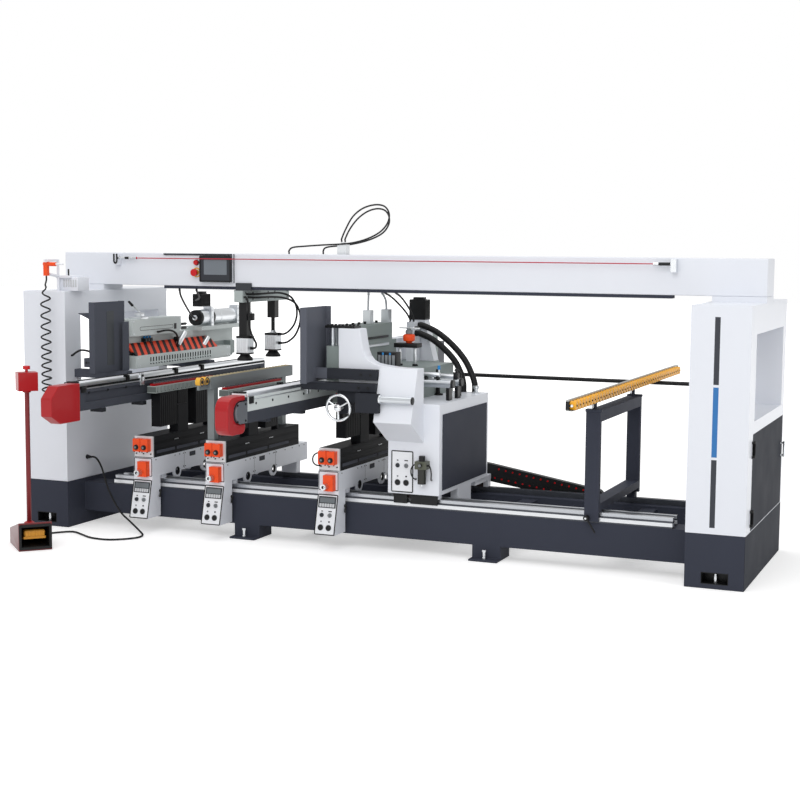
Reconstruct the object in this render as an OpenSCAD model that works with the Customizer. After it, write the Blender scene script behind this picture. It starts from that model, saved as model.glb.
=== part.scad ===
// Line boring machine: a floor machine that drills rows of holes in panels from both ends and from below.
// Millimetres, +X along the beam to the right, +Y to the back, +Z up, the floor at z = 0.
// Pieces are written with y = 0 at the column fronts. The x of the frame is 0 midway between the columns.
// The x of the heads and units is stated from the left end, and that of the roller support from the right
// end. place() moves all of them so that the origin is the middle of the whole footprint.

/* [Columns] */
// Distance between the outer faces of the two columns
machine_length = 4452; // [4440:2:4480]
// Width of a column along the beam
column_width = 309; // [305:1:312]
// Depth of a column
column_depth = 1166; // [1164:1:1180]
// Height of the column top
column_top = 1463; // [1455:1:1475]
// Height of the dark column base
base_height = 287; // [284:1:292]
// Front edge of the column window
window_front = 165; // [160:1:175]
// Distance of the rear edge of the window from the back of the column
window_rear = 106; // [96:1:126]
// Sill height of the column window
window_low = 862; // [850:1:915]
// Head height of the column window
window_high = 1312; // [1290:1:1330]
// Width of the pocket in the base
pocket_width = 139; // [120:1:150]
// Thickness of the cabinet door
door_thick = 18; // [14:1:22]
// Gap round the cabinet door
door_gap = 1.5; // [1:0.1:2.5]
// Lower edge of the door opening
door_low = 290; // [289:1:310]
// Upper edge of the door opening
door_high = 798; // [780:1:810]

/* [Beam] */
// Front face of the beam
beam_front = 445; // [440:1:450]
// Depth of the beam
beam_depth = 220; // [212:1:226]
// Height of the beam
beam_height = 202; // [196:1:206]
// Height of the seat under each end of the beam
seat_height = 32; // [30:1:36]
// Height of the cable duct under the beam
duct_height = 18; // [14:1:20]
// Width of the touch screen
screen_width = 217; // [205:1:225]
// Height of the touch screen
screen_height = 157; // [145:1:165]
// Radius of the emergency pull wire
wire_radius = 3; // [2:0.5:4]

/* [Bed] */
// Front face of the bed
bed_front = 185; // [184:1:188]
// Width of the bed beams
bed_beam_width = 160; // [150:1:165]
// Height of the bed above the floor
bed_clear = 81; // [75:1:88]
// Top of the front bed beam
bed_top = 262; // [255:1:268]
// Front face of the rear bed beam
rear_front = 980; // [975:1:985]
// Top of the rear bed beam
rear_top = 236; // [230:1:240]
// Height of the front guide rail
rail_height = 56; // [54:0.5:58]
// Height of the rear guide rail
rear_rail_height = 32; // [28:0.5:34]
// Distance of the feet from the middle
foot_pos = 762; // [740:1:790]
// Width of a foot
foot_width = 169; // [150:1:180]
// Thickness of a foot plate
foot_plate = 12; // [10:1:15]
// Radius of a levelling bolt
bolt_radius = 8; // [6:0.5:9]

/* [Heads] */
// Middle between the two horizontal heads, from the left end of the machine
heads_middle = 1308; // [1304:1:1312]
// Distance of each drill face from the middle between the heads
drill_reach = 642; // [640:1:645]
// Number of spindles in a horizontal head
spindle_count = 24; // [20:1:27]
// Spindle spacing
spindle_pitch = 32; // [30:0.5:32]
// Radius of a spindle
spindle_radius = 5.5; // [4:0.5:6]
// Radius of the guide rods of a drill box
guide_radius = 12; // [10:0.5:14]
// Radial clearance of the guide rods
guide_clear = 0.05; // [0.03:0.01:0.09]
// Width of a feed arm
arm_width = 110; // [104:1:112]
// Height of the feed arm channel
arm_height = 140; // [130:1:145]
// Thickness of the feed belt
belt_thick = 17; // [12:1:18]
// Handwheel rim radius
wheel_radius = 72; // [64:1:76]
// Handwheel shaft radius
shaft_radius = 10; // [8:0.5:12]

/* [Vertical units] */
// Right side of the first unit, from the left end of the machine
unit_1_side = 878; // [877:1:886]
// Right side of the second unit, from the left end of the machine
unit_2_side = 1378; // [1366:1:1386]
// Right side of the third unit, from the left end of the machine
unit_3_side = 2128; // [2126:1:2128]
// Width of a unit
unit_width = 130; // [128:1:132]
// Height of a unit's white carriage top
carriage_top = 460; // [455:1:465]
// Height of a unit's black base
base_block_height = 130; // [125:1:135]
// Radius of the vertical guide rods
lift_radius = 14; // [12:0.5:15]
// Gap between a sliding piece and its rail
slide_gap = 0.3; // [0.2:0.05:0.5]
// Number of chucks on a vertical drill head
chuck_count = 21; // [15:1:21]
// Radius of a counter handle
handle_radius = 17; // [14:0.5:19]

/* [Press] */
// Side of a press cylinder body
press_side = 80; // [74:1:84]
// Radius of a press cylinder rod
press_rod_radius = 11; // [9:0.5:13]

/* [Roller support] */
// Left side of the roller frame, from the right end of the machine
frame_side = -896; // [-906:1:-886]
// Width of the roller frame posts
frame_width = 80; // [70:1:100]
// Top of the roller frame
frame_top = 875; // [865:1:880]
// Length of the roller bar
bar_length = 2570; // [2560:10:2600]
// Radius of the rollers of the roller bar
roller_radius = 24; // [20:0.5:26]
// Spacing of the rollers of the roller bar
roller_pitch = 58; // [54:1:62]
// Radius of the rear rod
rod_radius = 13; // [11:0.5:14]

/* [Pedestal] */
// Turn of the pedal about the upright axis
pedal_turn = 47; // [40:1:50]
// Width of the pedal housing
pedal_width = 190; // [180:1:200]
// Depth of the pedal housing
pedal_depth = 300; // [290:1:310]
// Height of the front of the pedal housing
pedal_height = 165; // [160:1:172]
// Top of the pedestal post
post_top = 905; // [890:1:920]
// Radius of the pedestal post
post_radius = 14; // [12:0.5:18]

/* [Cords] */
// Radius of the pedal cable
cable_radius = 6; // [5:0.5:7]
// Radius of the two hoses on the right head
hose_radius = 19; // [15:0.5:20]
// Radius of the two loops on the beam
loop_radius = 5; // [4:0.5:5.5]
// Radius of the curly air hose tube
curl_tube = 5; // [4:0.5:5.5]
// Radius of the curls
curl_radius = 28; // [26:1:34]
// Number of curls
curl_count = 12; // [8:1:14]

/* [Hidden] */
$fn = 48;
half = machine_length / 2;
inner = half - column_width;
window_back = column_depth - window_rear;
beam_low = column_top + seat_height;
beam_top = beam_low + beam_height;
beam_back = beam_front + beam_depth;
bed_back = bed_front + bed_beam_width;
rear_back = rear_front + bed_beam_width;
front_rail_top = bed_top + rail_height;
rear_rail_top = rear_top + rear_rail_height;
rear_rail_y = 1060;
rear_rail_half = 20;
rail_start_gap = 217;
rail_end_gap = 107;
rail_left = rail_start_gap - inner;
rail_right = inner - rail_end_gap;
rail_width = 50;
rail_step = 34;
guide_inset = 15;
rack_front = bed_front + 105;
rack_width = 20;
cross_half = 45;
cross_low = 110;
cross_high = 220;
cross_end = 417;
cross_2 = 1776;
cross_3 = 2326;
cross_places = [cross_end - inner, cross_2 - half, cross_3 - half, foot_pos, inner - cross_end];
foot_reach = 65;
bolt_reach = 32;
bolt_gap = 0.2;
nut_radius = 12;
nut_height = 12;
bolt_top = 64;
pocket_low = 25;
pocket_high = 85;
pocket_depth = 70;
pocket_inset = 88;
seat_inset = 18;
door_front = 135;
door_rear = column_depth - 26;
door_lip = 25;
cabinet_wall = 30;
hinge_radius = 8;
hinge_gap = 0.3;
hinge_out = hinge_radius + hinge_gap;
hinge_side = 2;
knuckle = 14;
knuckle_leaf = 24;
hinge_half = 30;
hinge_low = 360;
hinge_high = 720;
leaf_thick = 5;
leaf_length = 40;
handle_out = 26;
door_handle_r = 7;
door_handle_low = 560;
door_handle_high = 650;

duct_start_gap = 737;
duct_end_gap = 509;
duct_left = duct_start_gap - half;
duct_right = half - duct_end_gap;
duct_depth = 70;
duct_inset = 5;
screen_left = 1015;
screen_low = beam_low + 29;
screen_out = 30;
glass_side = 28;
glass_low = 43;
glass_high = 22;
glass_deep = 3;
conduit = 10;
conduit_left = 743;
estop_x = 976;
estop_z = beam_low + 84;
lamp_z = beam_low + 145;
lamp_radius = 15;
lamp_out = 17;
collar_radius = 17;
collar_out = 20;
stem_radius = 9;
push_gap = 0.3;
mushroom_radius = 22;
mushroom_thick = 14;
push_travel = 6;
wire_y = beam_front - 40;
wire_z = beam_low + 169;
wire_start_gap = 566;
wire_end_gap = 606;
wire_left = wire_start_gap - half;
wire_right = half - wire_end_gap;
turnbuckle_gap = 426;
turnbuckle_left = turnbuckle_gap - half;
turnbuckle_radius = 8;
spring_gap = 509;
spring_right = half - spring_gap;
spring_radius = 9;
hook_thick = 30;
hook_low = beam_low + 125;
hook_high = beam_low + 195;
hook_back_gap = 8;

press_x = 1276;
press_1_y = 512;
press_2_y = 883;
press_plate_half = 80;
press_arm_half = 30;
press_arm_low = 1400;
press_arm_rear = 1050;
press_plate_thick = 20;
press_lip = 14;
press_lip_side = 34;
press_lip_half = 53;
press_lip_low = 22;
press_lip_high = 24;
press_guide_half = 27;
press_body_low = 1080;
press_body_high = 1190;
press_rod_high = 1290;
press_link_radius = 12;
press_pad_radius = 49;
press_pad_neck = 26;
press_pad_low = 1040;
press_rod_top = 1175;
press_bore_top = 1182;

gun_x = 236;
gun_y = -60;
gun_post_y = 40;
gun_post_radius = 8;
gun_post_top = 1655;
gun_arm_low = 1640;
gun_barrel_r = 13;
gun_barrel_z = gun_arm_low - gun_barrel_r;
gun_nozzle_r = 5;
gun_grip_low = 1556;
gun_grip = 28;
gun_grip_half = 11;
gun_barrel_back = 30;
gun_barrel_front = 55;
gun_nozzle_end = 110;
curl_x = gun_x - 24;
fitting_x = 1926;
fitting_y = beam_front + beam_depth / 2;
fitting_half = 28;
fitting_high = 60;

arm_left = heads_middle - drill_reach + 25;
arm_right = arm_left + arm_width;
arm_low = 805;
arm_top = arm_low + arm_height;
arm_front = -560;
arm_rear = 1660;
cover_front = -830;
cover_low = 752;
cover_high = 965;
cover_over = 5;
cover_wide = 72;
belt_inset = 15;
groove_deep = 12;
groove_low = 45;
groove_high = 100;
clamp_places = [-70, 480, 800];
clamp_half = 14;
clamp_inner = 21;
clamp_outer = 7;
clamp_high = 975;
right_arm_front = -640;
end_plate_thick = 10;
end_plate_y = -705;
end_plate_r = 58;
end_plate_z = 866;
end_plate_gap = 4;
end_cover_in = 2;
end_cover_wide = 80;
end_cover_low = 752;
end_cover_high = 955;
end_cover_top_r = 70;
end_cover_low_r = 60;
end_cover_rear_r = 35;
lug_places = [-330, 100];
lug_half = 20;
lug_low = 780;
lug_inner = 75;
lug_outer = 8;

drill_face = heads_middle - drill_reach;
drill_thick = 85;
drill_front = 230;
drill_margin = 170;
drill_rear_margin = 276;
slot_first = drill_front + drill_margin;
drill_rear = slot_first + (spindle_count - 1) * spindle_pitch + drill_rear_margin;
drill_low = 983;
drill_high = 1063;
slot_half = 7;
slot_low = 1000;
slot_high = 1045;
slot_deep = 30;
spindle_z = 1012;
spindle_out = 8;
guide_margin = 100;
guide_places = [drill_front + guide_margin, (drill_front + drill_rear) / 2, drill_rear - guide_margin];
guide_z = 1030;
guide_length = 90;
beam_gap = 5;
head_back = drill_face - drill_thick - beam_gap;
head_thick = 90;
head_front = 90;
head_rear = 1600;
head_low = 980;
head_high = 1180;
block_front = 253;
block_rear = 830;
block_out = 50;
block_high = 1285;
drive_front = 1060;
drive_rear = 1590;
drive_base = 25;
drive_high = 1293;
motor_high = 1420;
plate_1 = 1190;
plate_2 = 1545;
plate_thick = 30;
plate_in = 5;
plate_out = 70;
plate_high = 1335;
drum_radius = 52;
drum_x = 10;
drum_z = 1262;
drum_start = 1075;
motor_front = 1110;
motor_rear = 1230;
motor_in = 30;
motor_out = 40;
lug_block_front = 1480;
lug_block_rear = 1540;
lug_block_low = 1000;
lug_block_high = 1090;
stripe_margin = 5;
stripe_rear_margin = 180;
stripe_front = drill_front + stripe_margin;
stripe_rear = drill_rear - stripe_rear_margin;
stripe_foot = 14;
stripe_lip = 5;
stripe_in = 74;
stripe_high = 73;
stripe_back = 83;
stripe_back_high = 66;
bar_low = 930;
bar_front = 90;
bar_rear = 150;
bar_2_front = 1085;
bar_2_rear = 1150;
guard_front = -150;
guard_rear = 170;
guard_thick = 10;
guard_high = 1405;
guard_in = 40;
flange = 40;
slim_front = 105;
slim_rear = 165;
slim_in = 5;
slim_high = 1280;

lift_y_1 = 435;
lift_y_2 = 770;
lift_sleeve = 8;
lift_sleeve_high = 170;
lift_clear = 0.05;
lift_floor = 10;
lift_low = 20;
bank_side = 2;
bank_width = 64;
bank_front = 125;
bank_rear = 840;
bank_low = 850;
bank_high = 892;
strip_inset = 14;
strip_high = 905;
chuck_high = 914;
chuck_radius = 8;
chuck_first = 155;
chuck_pitch = 32;
motor_gap = 25;
motor_1_lift = 25;
motor_1_front = 170;
motor_1_rear = 365;
motor_2_front = 590;
motor_2_rear = 740;
guide_block_half = 60;
guide_block_gap = 2;
carriage_front = 70;
carriage_rear = 1170;
carriage_low = 345;
box_foot_y = 12;
box_low = 95;
box_lean_y = 67;
box_lean_z = 325;
box_back = 160;
ear_1 = 360;
ear_2 = 695;
ear_radius = 45;
ear_hole = 26;
ear_thick = 12;
slider_inset = 10;
slider_front = bed_front + 10;
slider_rear = bed_front + 60;
rear_slider = 25;
front_plate_thick = 12;
front_plate_front = 78;
base_front = front_plate_front + front_plate_thick;
base_rear = 1045;
base_top = carriage_top + base_block_height;
twin_width = 50;
twin_gap = 4;
twin_inset = 12;
twin_deep = 40;
twin_low = carriage_top + 40;
twin_high = carriage_top + 116;
single_inset = 48;
single_width = 62;
single_deep = 40;
single_low = 348;
single_high = 440;
handle_x = 68;
handle_z = 376;
handle_length = 42;
handle_shaft = 8;
handle_shaft_length = 18;
handle_clear = 0.05;
nub_radius = 4;
nub_length = 8;

mid_left = 4;
mid_width = 52;
mid_front = 60;
mid_rear = 1120;
mid_low = 900;
mid_floor = 936;
mid_side_high = 969;
mid_roller_radius = 18;
mid_pitch = 42;
mid_tongue = 105;
mid_tongue_inset = 18;
mid_tongue_drop = 8;
mid_wheel_r = 26;
mid_wheel_inset = 10;
mid_wheel_first = 28;
mid_wheel_pitch = 58;
mid_wheel_z = 948;
mid_wall = 5;
mid_post_inset = 4;
mid_post_1 = 100;
mid_post_2 = 980;
mid_post_deep = 50;
mid_roller_gap = 0.5;
mid_first = 85;
mid_count = 25;

cab_left = 2398;
cab_right = 2713;
cab_front = 155;
cab_rear = 970;
cab_low = 345;
cab_high = 865;
shroud_front = 60;
shroud_left = 2130;
shroud_low = 935;
shroud_high = 1284;
shroud_join = 2386;
bulge_right = 2616;
chin_front = -35;
panel_thick = 4;
bridge_low = 985;
bridge_high = 1040;
bridge_front = 200;
bridge_rear = 960;
pillar_right = 2486;
stand_left = 2196;
stand_right = 2246;
stand_front = 900;
stand_rear = 1000;
rmotor_x = 2222;
rmotor_half = 54;
rmotor_front = 1010;
rmotor_rear = 1090;
rhouse_right = 2271;
rhouse_foot = 2336;
shelf_front = 940;
shelf_rear = 1095;
shelf_over = 2;
stand_drop = 8;
hang_rear = 1720;
hang_low = 870;
rod_y = 1690;
rod_z = 901.5;
rod_clear = 0.3;
rod_start = 1966;
rod_end_gap = 156;
rod_left = rod_start - half;
rod_right = half - rod_end_gap;
rod_bracket_half = 30;
rod_bracket_low = 880;
rod_bracket_high = 925;
rod_bracket_rear = 1715;
cross_bar_low = 998;
cross_bar_high = 1058;
cross_bar_front = 20;
cross_bar_right = 2381;
hang_bar_front = -10;
bearing_left = 2141;
bearing_right = 2211;
bearing_low = 800;
bearing_rear = 100;
bearing_block_low = 870;
wheel_x = 2176;
wheel_z = 842;
wheel_y = -40;
wheel_rim = 8;
hub_radius = 22;
hub_front = -56;
hub_rear = -18;
spoke_radius = 6;
shaft_clear = 0.05;
shaft_end = 92;
lug_left = 2286;
lug_front = -55;
lug_bottom = 875;
lug_top = 930;
round_bar_r = 21;
round_bar_y = -34;
round_bar_z = 900;
round_bar_right = 2626;
bar_block_right = 2425;
bar_block_low = 822;
bar_block_rear = -21;
tie_radius = 18;
tie_y = 122;
tie_x_1 = 2064;
tie_x_2 = 2106;
cap_left = 2042;
cap_right = 2226;
cap_front = 64;
cap_rear = 152;
cap_thick = 14;
small_half = 25;
small_high = 1365;
small_places = [[tie_x_1, 614], [tie_x_2 - 3, 800]];
ram_r = 24;
ram_z = 960;
ram_y_1 = 420;
ram_y_2 = 560;
ram_right = 2696;
filter_x = 2621;
filter_y = 122;
bowl_r = 24;
bowl_low = 415;
bowl_high = 500;
filter_half = 35;
filter_high = 545;
filter_knob_r = 18;
filter_knob_high = 575;
leg_front = 460;
leg_rear = 680;
leg_low = 225;
leg_width = 47;
skid_1 = 2426;
skid_2 = 2596;
skid_length = 100;
tail_front = 800;
tail_rear = 1090;
tail_low = 310;
tail_right = 2696;

post_front = 165;
post_deep = 30;
post_2_front = 1065;
flap_deep = 17;
flap_low = 272;
far_low = 300;
rail_bar_inset = 15;
frame_bar_low = 325;
frame_bar_high = 368;
frame_top_bar = 60;
screw_radius = 9;
screw_1 = 205;
screw_2 = 1045;
bar_front_end = -270;
bar_rear_end = bar_front_end + bar_length;
bar_half = 25;
bar_base = frame_top + 40;
bar_height = 58;
bar_web = 17;
bar_flange = 4;
bar_flange_reach = 10;
roller_gap = 0.5;
roller_first = 30;
roller_number = floor((bar_length - 2 * roller_first) / roller_pitch);
lever_x = 19;
lever_z = 292;
lever_hub_r = 12;
lever_hub_front = 130;
lever_radius = 5;
lever_length = 92;
lever_turn = 148;

chain_left = 2656;
chain_front = 1095;
chain_rear = 1138;
chain_right = 3416;
chain_top = 410;
chain_knee = 300;
chain_lead = 50;
chain_lead_top = 402;
chain_drop = 24;
chain_drop_high = 287;
chain_end_top = 262;
chain_flat = 330;

pedal_x = 557;
pedal_y = -661;
pedal_wall = 15;
pedal_floor = 22;
pedal_rear_height = 90;
pedal_mouth = 230;
pedal_roof_front = 25;
pedal_mouth_rear_high = 85;
pedal_boss_half = 22;
pedal_boss_top = 128;
pedal_pin_y = 205;
pedal_pin_z = 45;
pedal_pin_r = 7;
pedal_end_gap = 0.5;
tread_half = 62;
tread_front = 25;
tread_front_low = 66;
tread_thick = 14;
post_y = 190;
head_half = 56;
head_deep = 50;
head_tall = 107;
red_stem = 8;
red_radius = 21;
red_lift = 16;
red_thick = 20;
red_bore = 40;

// The footprint: its middle becomes the origin
box_right = half + handle_out;
shift_x = -(box_right - half) / 2;
shift_y = -(cover_front + bar_rear_end) / 2;

white = [0.86, 0.88, 0.91];
dark = [0.26, 0.27, 0.32];
black = [0.08, 0.08, 0.09];
red = [0.62, 0.13, 0.15];
orange = [0.94, 0.35, 0.13];
yellow = [0.95, 0.72, 0.22];
cast = [0.55, 0.59, 0.58];
steel = [0.75, 0.76, 0.78];

// Helpers
module block(x0, x1, y0, y1, z0, z1) {
    translate([x0, y0, z0]) cube([x1 - x0, y1 - y0, z1 - z0]);
}
module along_x(r, x0, x1, y, z) {
    translate([x0, y, z]) rotate([0, 90, 0]) cylinder(r = r, h = x1 - x0);
}
module along_y(r, y0, y1, x, z) {
    translate([x, y0, z]) rotate([-90, 0, 0]) cylinder(r = r, h = y1 - y0);
}
module upright(r, z0, z1, x, y) {
    translate([x, y, z0]) cylinder(r = r, h = z1 - z0);
}
// A shape drawn as [y, z] and pushed along x
module side_shape(x0, x1, points) {
    translate([x0, 0, 0]) rotate([90, 0, 90]) linear_extrude(height = x1 - x0) polygon(points);
}
// A shape drawn as [x, z] and pushed along y
module front_shape(y0, y1, points) {
    translate([0, y1, 0]) rotate([90, 0, 0]) linear_extrude(height = y1 - y0) polygon(points);
}
// The same piece on the other side of the middle between the heads
module facing() {
    translate([2 * heads_middle, 0, 0]) mirror([1, 0, 0]) children();
}
module place() {
    translate([shift_x, shift_y, 0]) children();
}
// Pieces whose x is stated from the left end of the machine, and from the right end
module by_left() {
    translate([-half, 0, 0]) children();
}
module by_right() {
    translate([half, 0, 0]) children();
}

// Swept tubes
function unit(v) = v / norm(v);
function last(p) = len(p) - 1;
function heading(p, i) = unit(p[min(i + 1, last(p))] - p[max(i - 1, 0)]);
function square_on(n, t) = unit(n - (n * t) * t);
function normals(p, n0) = [for (i = 0, n = square_on(n0, heading(p, 0)); i < len(p);
    n = i < last(p) ? square_on(n, heading(p, i + 1)) : n, i = i + 1) n];
function spline(a, b, c, d, t) = 0.5 * (2 * b + (c - a) * t + (2 * a - 5 * b + 4 * c - d) * t * t
    + (3 * b - a - 3 * c + d) * t * t * t);
function smooth(p, steps) = [for (i = [0 : last(p) - 1]) for (s = [0 : steps - 1])
    spline(p[max(i - 1, 0)], p[i], p[i + 1], p[min(i + 2, last(p))], s / steps), p[last(p)]];
module tube(p, r, sides, n0) {
    n = normals(p, n0);
    m = len(p);
    points = [for (i = [0 : m - 1]) let (t = heading(p, i), b = cross(t, n[i])) for (k = [0 : sides - 1])
        p[i] + r[i % len(r)] * (cos(360 * k / sides) * n[i] + sin(360 * k / sides) * b)];
    walls = [for (i = [0 : m - 2]) for (k = [0 : sides - 1]) let (a = i * sides + k,
        b = i * sides + (k + 1) % sides) each [[a, a + sides, b], [b, a + sides, b + sides]]];
    start = [for (k = [0 : sides - 1]) k];
    finish = [for (k = [0 : sides - 1]) m * sides - 1 - k];
    polyhedron(points = points, faces = concat(walls, [start, finish]));
}

// Frame
module bed_frame() {
    color(dark) union() {
        block(-inner, inner, bed_front, bed_back, bed_clear, bed_top);
        block(-inner, inner, rear_front, rear_back, bed_clear, rear_top);
        for (x = cross_places) block(x - cross_half, x + cross_half, bed_back, rear_front, cross_low,
            cross_high);
        for (s = [-1, 1]) {
            foot(s * foot_pos, bed_front, bed_back, bed_front - foot_reach, bed_back,
                bed_front - bolt_reach);
            foot(s * foot_pos, rear_front, rear_back, rear_front, rear_back + foot_reach,
                rear_back + bolt_reach);
        }
        base();
        mirror([1, 0, 0]) base();
    }
}
module foot(x, y0, y1, plate_0, plate_1, bolt_y) {
    block(x - foot_width / 2, x + foot_width / 2, y0, y1, foot_plate, bed_clear);
    difference() {
        block(x - foot_width / 2, x + foot_width / 2, plate_0, plate_1, 0, foot_plate);
        upright(bolt_radius + bolt_gap, -1, foot_plate + 1, x, bolt_y);
    }
}
module base() {
    difference() {
        block(inner, half, 0, column_depth, 0, base_height);
        block(inner + pocket_inset, inner + pocket_inset + pocket_width, -1, pocket_depth, pocket_low,
            pocket_high);
    }
}
module guide_rails() {
    color(steel) {
        union() {
            block(rail_left, rail_right, bed_front, bed_front + rail_width, bed_top, bed_top + rail_step);
            block(rail_left, rail_right, bed_front + guide_inset, bed_front + rail_width, bed_top,
                front_rail_top);
        }
        block(rail_left, rail_right, rack_front, rack_front + rack_width, bed_top, front_rail_top);
        block(rail_left, rail_right, rear_rail_y - rear_rail_half, rear_rail_y + rear_rail_half, rear_top,
            rear_rail_top);
    }
}
module levelling_bolts() {
    color(steel) {
        for (s = [-1, 1]) for (y = [bed_front - bolt_reach, rear_back + bolt_reach]) union() {
            upright(bolt_radius, 1, bolt_top, s * foot_pos, y);
            upright(nut_radius, foot_plate, foot_plate + nut_height, s * foot_pos, y);
            upright(nut_radius, bolt_top - nut_height, bolt_top, s * foot_pos, y);
        }
        for (s = [-1, 1]) upright(nut_radius - 4, pocket_low, pocket_high - 10,
            s * (inner + pocket_inset + pocket_width / 2), pocket_depth / 2);
    }
}
module column() {
    difference() {
        block(inner, half, 0, column_depth, base_height, column_top);
        block(inner - 1, half + 1, window_front, window_back, window_low, window_high);
    }
    block(inner + seat_inset, half, beam_front, beam_back, column_top, beam_low);
}
module left_column() {
    color(white) mirror([1, 0, 0]) union() column();
}
module right_column() {
    color(white) union() {
        difference() {
            column();
            block(half - door_thick - 1, half + 1, door_front, door_rear, door_low, door_high);
            block(inner + cabinet_wall, half, door_front + door_lip, door_rear - door_lip,
                door_low + door_lip, door_high - door_lip);
        }
        for (z = [hinge_low, hinge_high]) {
            column_knuckle(z + hinge_half + hinge_gap);
            column_knuckle(z - hinge_half - hinge_gap - knuckle);
        }
    }
}
// The half of a door hinge that stays on the column
module column_knuckle(z) {
    upright(hinge_radius, z, z + knuckle, half + hinge_out, door_front - hinge_side);
    block(half, half + leaf_thick + 1, door_front - hinge_side - knuckle_leaf, door_front - hinge_side,
        z, z + knuckle);
}
module column_door() {
    color(dark) union() {
        block(half - door_thick, half, door_front + door_gap, door_rear - door_gap, door_low + door_gap,
            door_high - door_gap);
        for (z = [hinge_low, hinge_high]) {
            upright(hinge_radius, z - hinge_half, z + hinge_half, half + hinge_out, door_front - hinge_side);
            block(half + 1, half + leaf_thick + 1, door_front - hinge_side, door_front + door_gap + 1,
                z - hinge_half, z + hinge_half);
            block(half, half + leaf_thick + 1, door_front + door_gap, door_front + leaf_length,
                z - hinge_half, z + hinge_half);
        }
        upright(door_handle_r, door_handle_low, door_handle_high, half + handle_out - door_handle_r,
            door_rear - 40);
        for (z = [door_handle_low + 10, door_handle_high - 10])
            along_x(door_handle_r - 2, half - 1, half + handle_out - door_handle_r, door_rear - 40, z);
    }
}
module beam() {
    color(white) block(-half, half, beam_front, beam_back, beam_low, beam_top);
}
module cable_duct() {
    color(dark) block(duct_left, duct_right, beam_front + duct_inset, beam_front + duct_inset + duct_depth,
        beam_low - duct_height, beam_low);
}
module control_station() {
    front = beam_front - screen_out;
    right = screen_left + screen_width;
    high = screen_low + screen_height;
    color(black) {
        union() {
            difference() {
                block(screen_left, right, front, beam_front, screen_low, high);
                block(screen_left + glass_side, right - glass_side, front - 1, front + glass_deep,
                    screen_low + glass_low, high - glass_high);
            }
            block(right, right + conduit, beam_front - conduit, beam_front, screen_low - 6, high + 14);
            block(conduit_left, right + conduit, beam_front - conduit, beam_front, high + 4, high + 14);
        }
        difference() {
            along_y(collar_radius, beam_front - collar_out, beam_front, estop_x, estop_z);
            along_y(stem_radius + push_gap, beam_front - collar_out - 1, beam_front - 1, estop_x, estop_z);
        }
        along_y(lamp_radius, beam_front - lamp_out, beam_front, estop_x, lamp_z);
    }
}
module screen_glass() {
    front = beam_front - screen_out;
    color([0.5, 0.52, 0.55]) block(screen_left + glass_side + 0.2,
        screen_left + screen_width - glass_side - 0.2,
        front + 0.5, front + glass_deep, screen_low + glass_low + 0.2,
            screen_low + screen_height - glass_high - 0.2);
}
module estop_button() {
    face = beam_front - collar_out - push_travel - 1;
    color(red) union() {
        along_y(mushroom_radius, face - mushroom_thick, face, estop_x, estop_z);
        along_y(stem_radius, face - 1, beam_front - push_travel - 3, estop_x, estop_z);
    }
}
module pull_wire() {
    color(red) union() {
        along_x(wire_radius, wire_left - 2, wire_right + 2, wire_y, wire_z);
        along_x(turnbuckle_radius, turnbuckle_left - 1, wire_left, wire_y, wire_z);
        along_x(spring_radius, wire_right, spring_right + 1, wire_y, wire_z);
        block(turnbuckle_left - hook_thick, turnbuckle_left, wire_y - hook_back_gap, beam_front, hook_low,
            hook_high);
        block(spring_right, spring_right + hook_thick, wire_y - hook_back_gap, beam_front, hook_low,
            hook_high);
    }
}
module beam_fittings() {
    color(steel) {
        union() {
            upright(gun_post_radius, column_top, gun_post_top, gun_x, gun_post_y);
            block(gun_x - 6, gun_x + 6, gun_y - 35, gun_post_y, gun_arm_low, gun_post_top);
        }
        union() {
            block(fitting_x - fitting_half, fitting_x + fitting_half, fitting_y - fitting_half,
                fitting_y + fitting_half,
                beam_top, beam_top + fitting_high);
            upright(fitting_half / 2, beam_top + fitting_high - 1, beam_top + fitting_high + 14,
                fitting_x, fitting_y);
        }
    }
}
module blow_gun() {
    color(orange) union() {
        difference() {
            along_x(gun_barrel_r, gun_x - gun_barrel_back, gun_x + gun_barrel_front, gun_y, gun_barrel_z);
            block(gun_x - gun_barrel_back - 1, gun_x + gun_barrel_front + 1, gun_y - gun_barrel_r,
                gun_y + gun_barrel_r, gun_arm_low - 2, gun_arm_low + 5);
        }
        block(gun_x - 4, gun_x + 4, gun_y - 8, gun_y + 8, gun_barrel_z, gun_arm_low);
        along_x(gun_nozzle_r, gun_x + gun_barrel_front - 1, gun_x + gun_nozzle_end, gun_y, gun_barrel_z);
        block(gun_x - gun_grip, gun_x, gun_y - gun_grip_half, gun_y + gun_grip_half, gun_grip_low,
            gun_barrel_z);
    }
}
module press_unit() {
    plate_low = beam_low - press_plate_thick;
    color(cast) union() {
        block(press_x - press_plate_half, press_x + press_plate_half,
            beam_front + duct_inset + duct_depth + 5, beam_back,
            plate_low, beam_low);
        block(press_x - press_arm_half, press_x + press_arm_half, beam_front - press_lip, press_arm_rear,
            press_arm_low, plate_low);
        block(press_x + press_lip_side - press_lip_half, press_x + press_lip_side + press_lip_half,
            beam_front - press_lip, beam_front,
            beam_low - press_lip_low, beam_low + press_lip_high);
        block(press_x - press_guide_half, press_x + press_guide_half, press_1_y - press_guide_half,
            press_1_y + press_guide_half, press_body_high, press_arm_low);
        block(press_x - press_guide_half, press_x + press_guide_half, press_2_y - press_guide_half,
            press_2_y + press_guide_half, press_rod_high, press_arm_low);
        upright(press_link_radius, press_body_high - 1, press_rod_high, press_x, press_2_y);
        for (y = [press_1_y, press_2_y]) difference() {
            block(press_x - press_side / 2, press_x + press_side / 2, y - press_side / 2,
                y + press_side / 2,
                press_body_low, press_body_high);
            upright(press_rod_radius + guide_clear, press_body_low - 1, press_bore_top, press_x, y);
        }
    }
}
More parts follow.
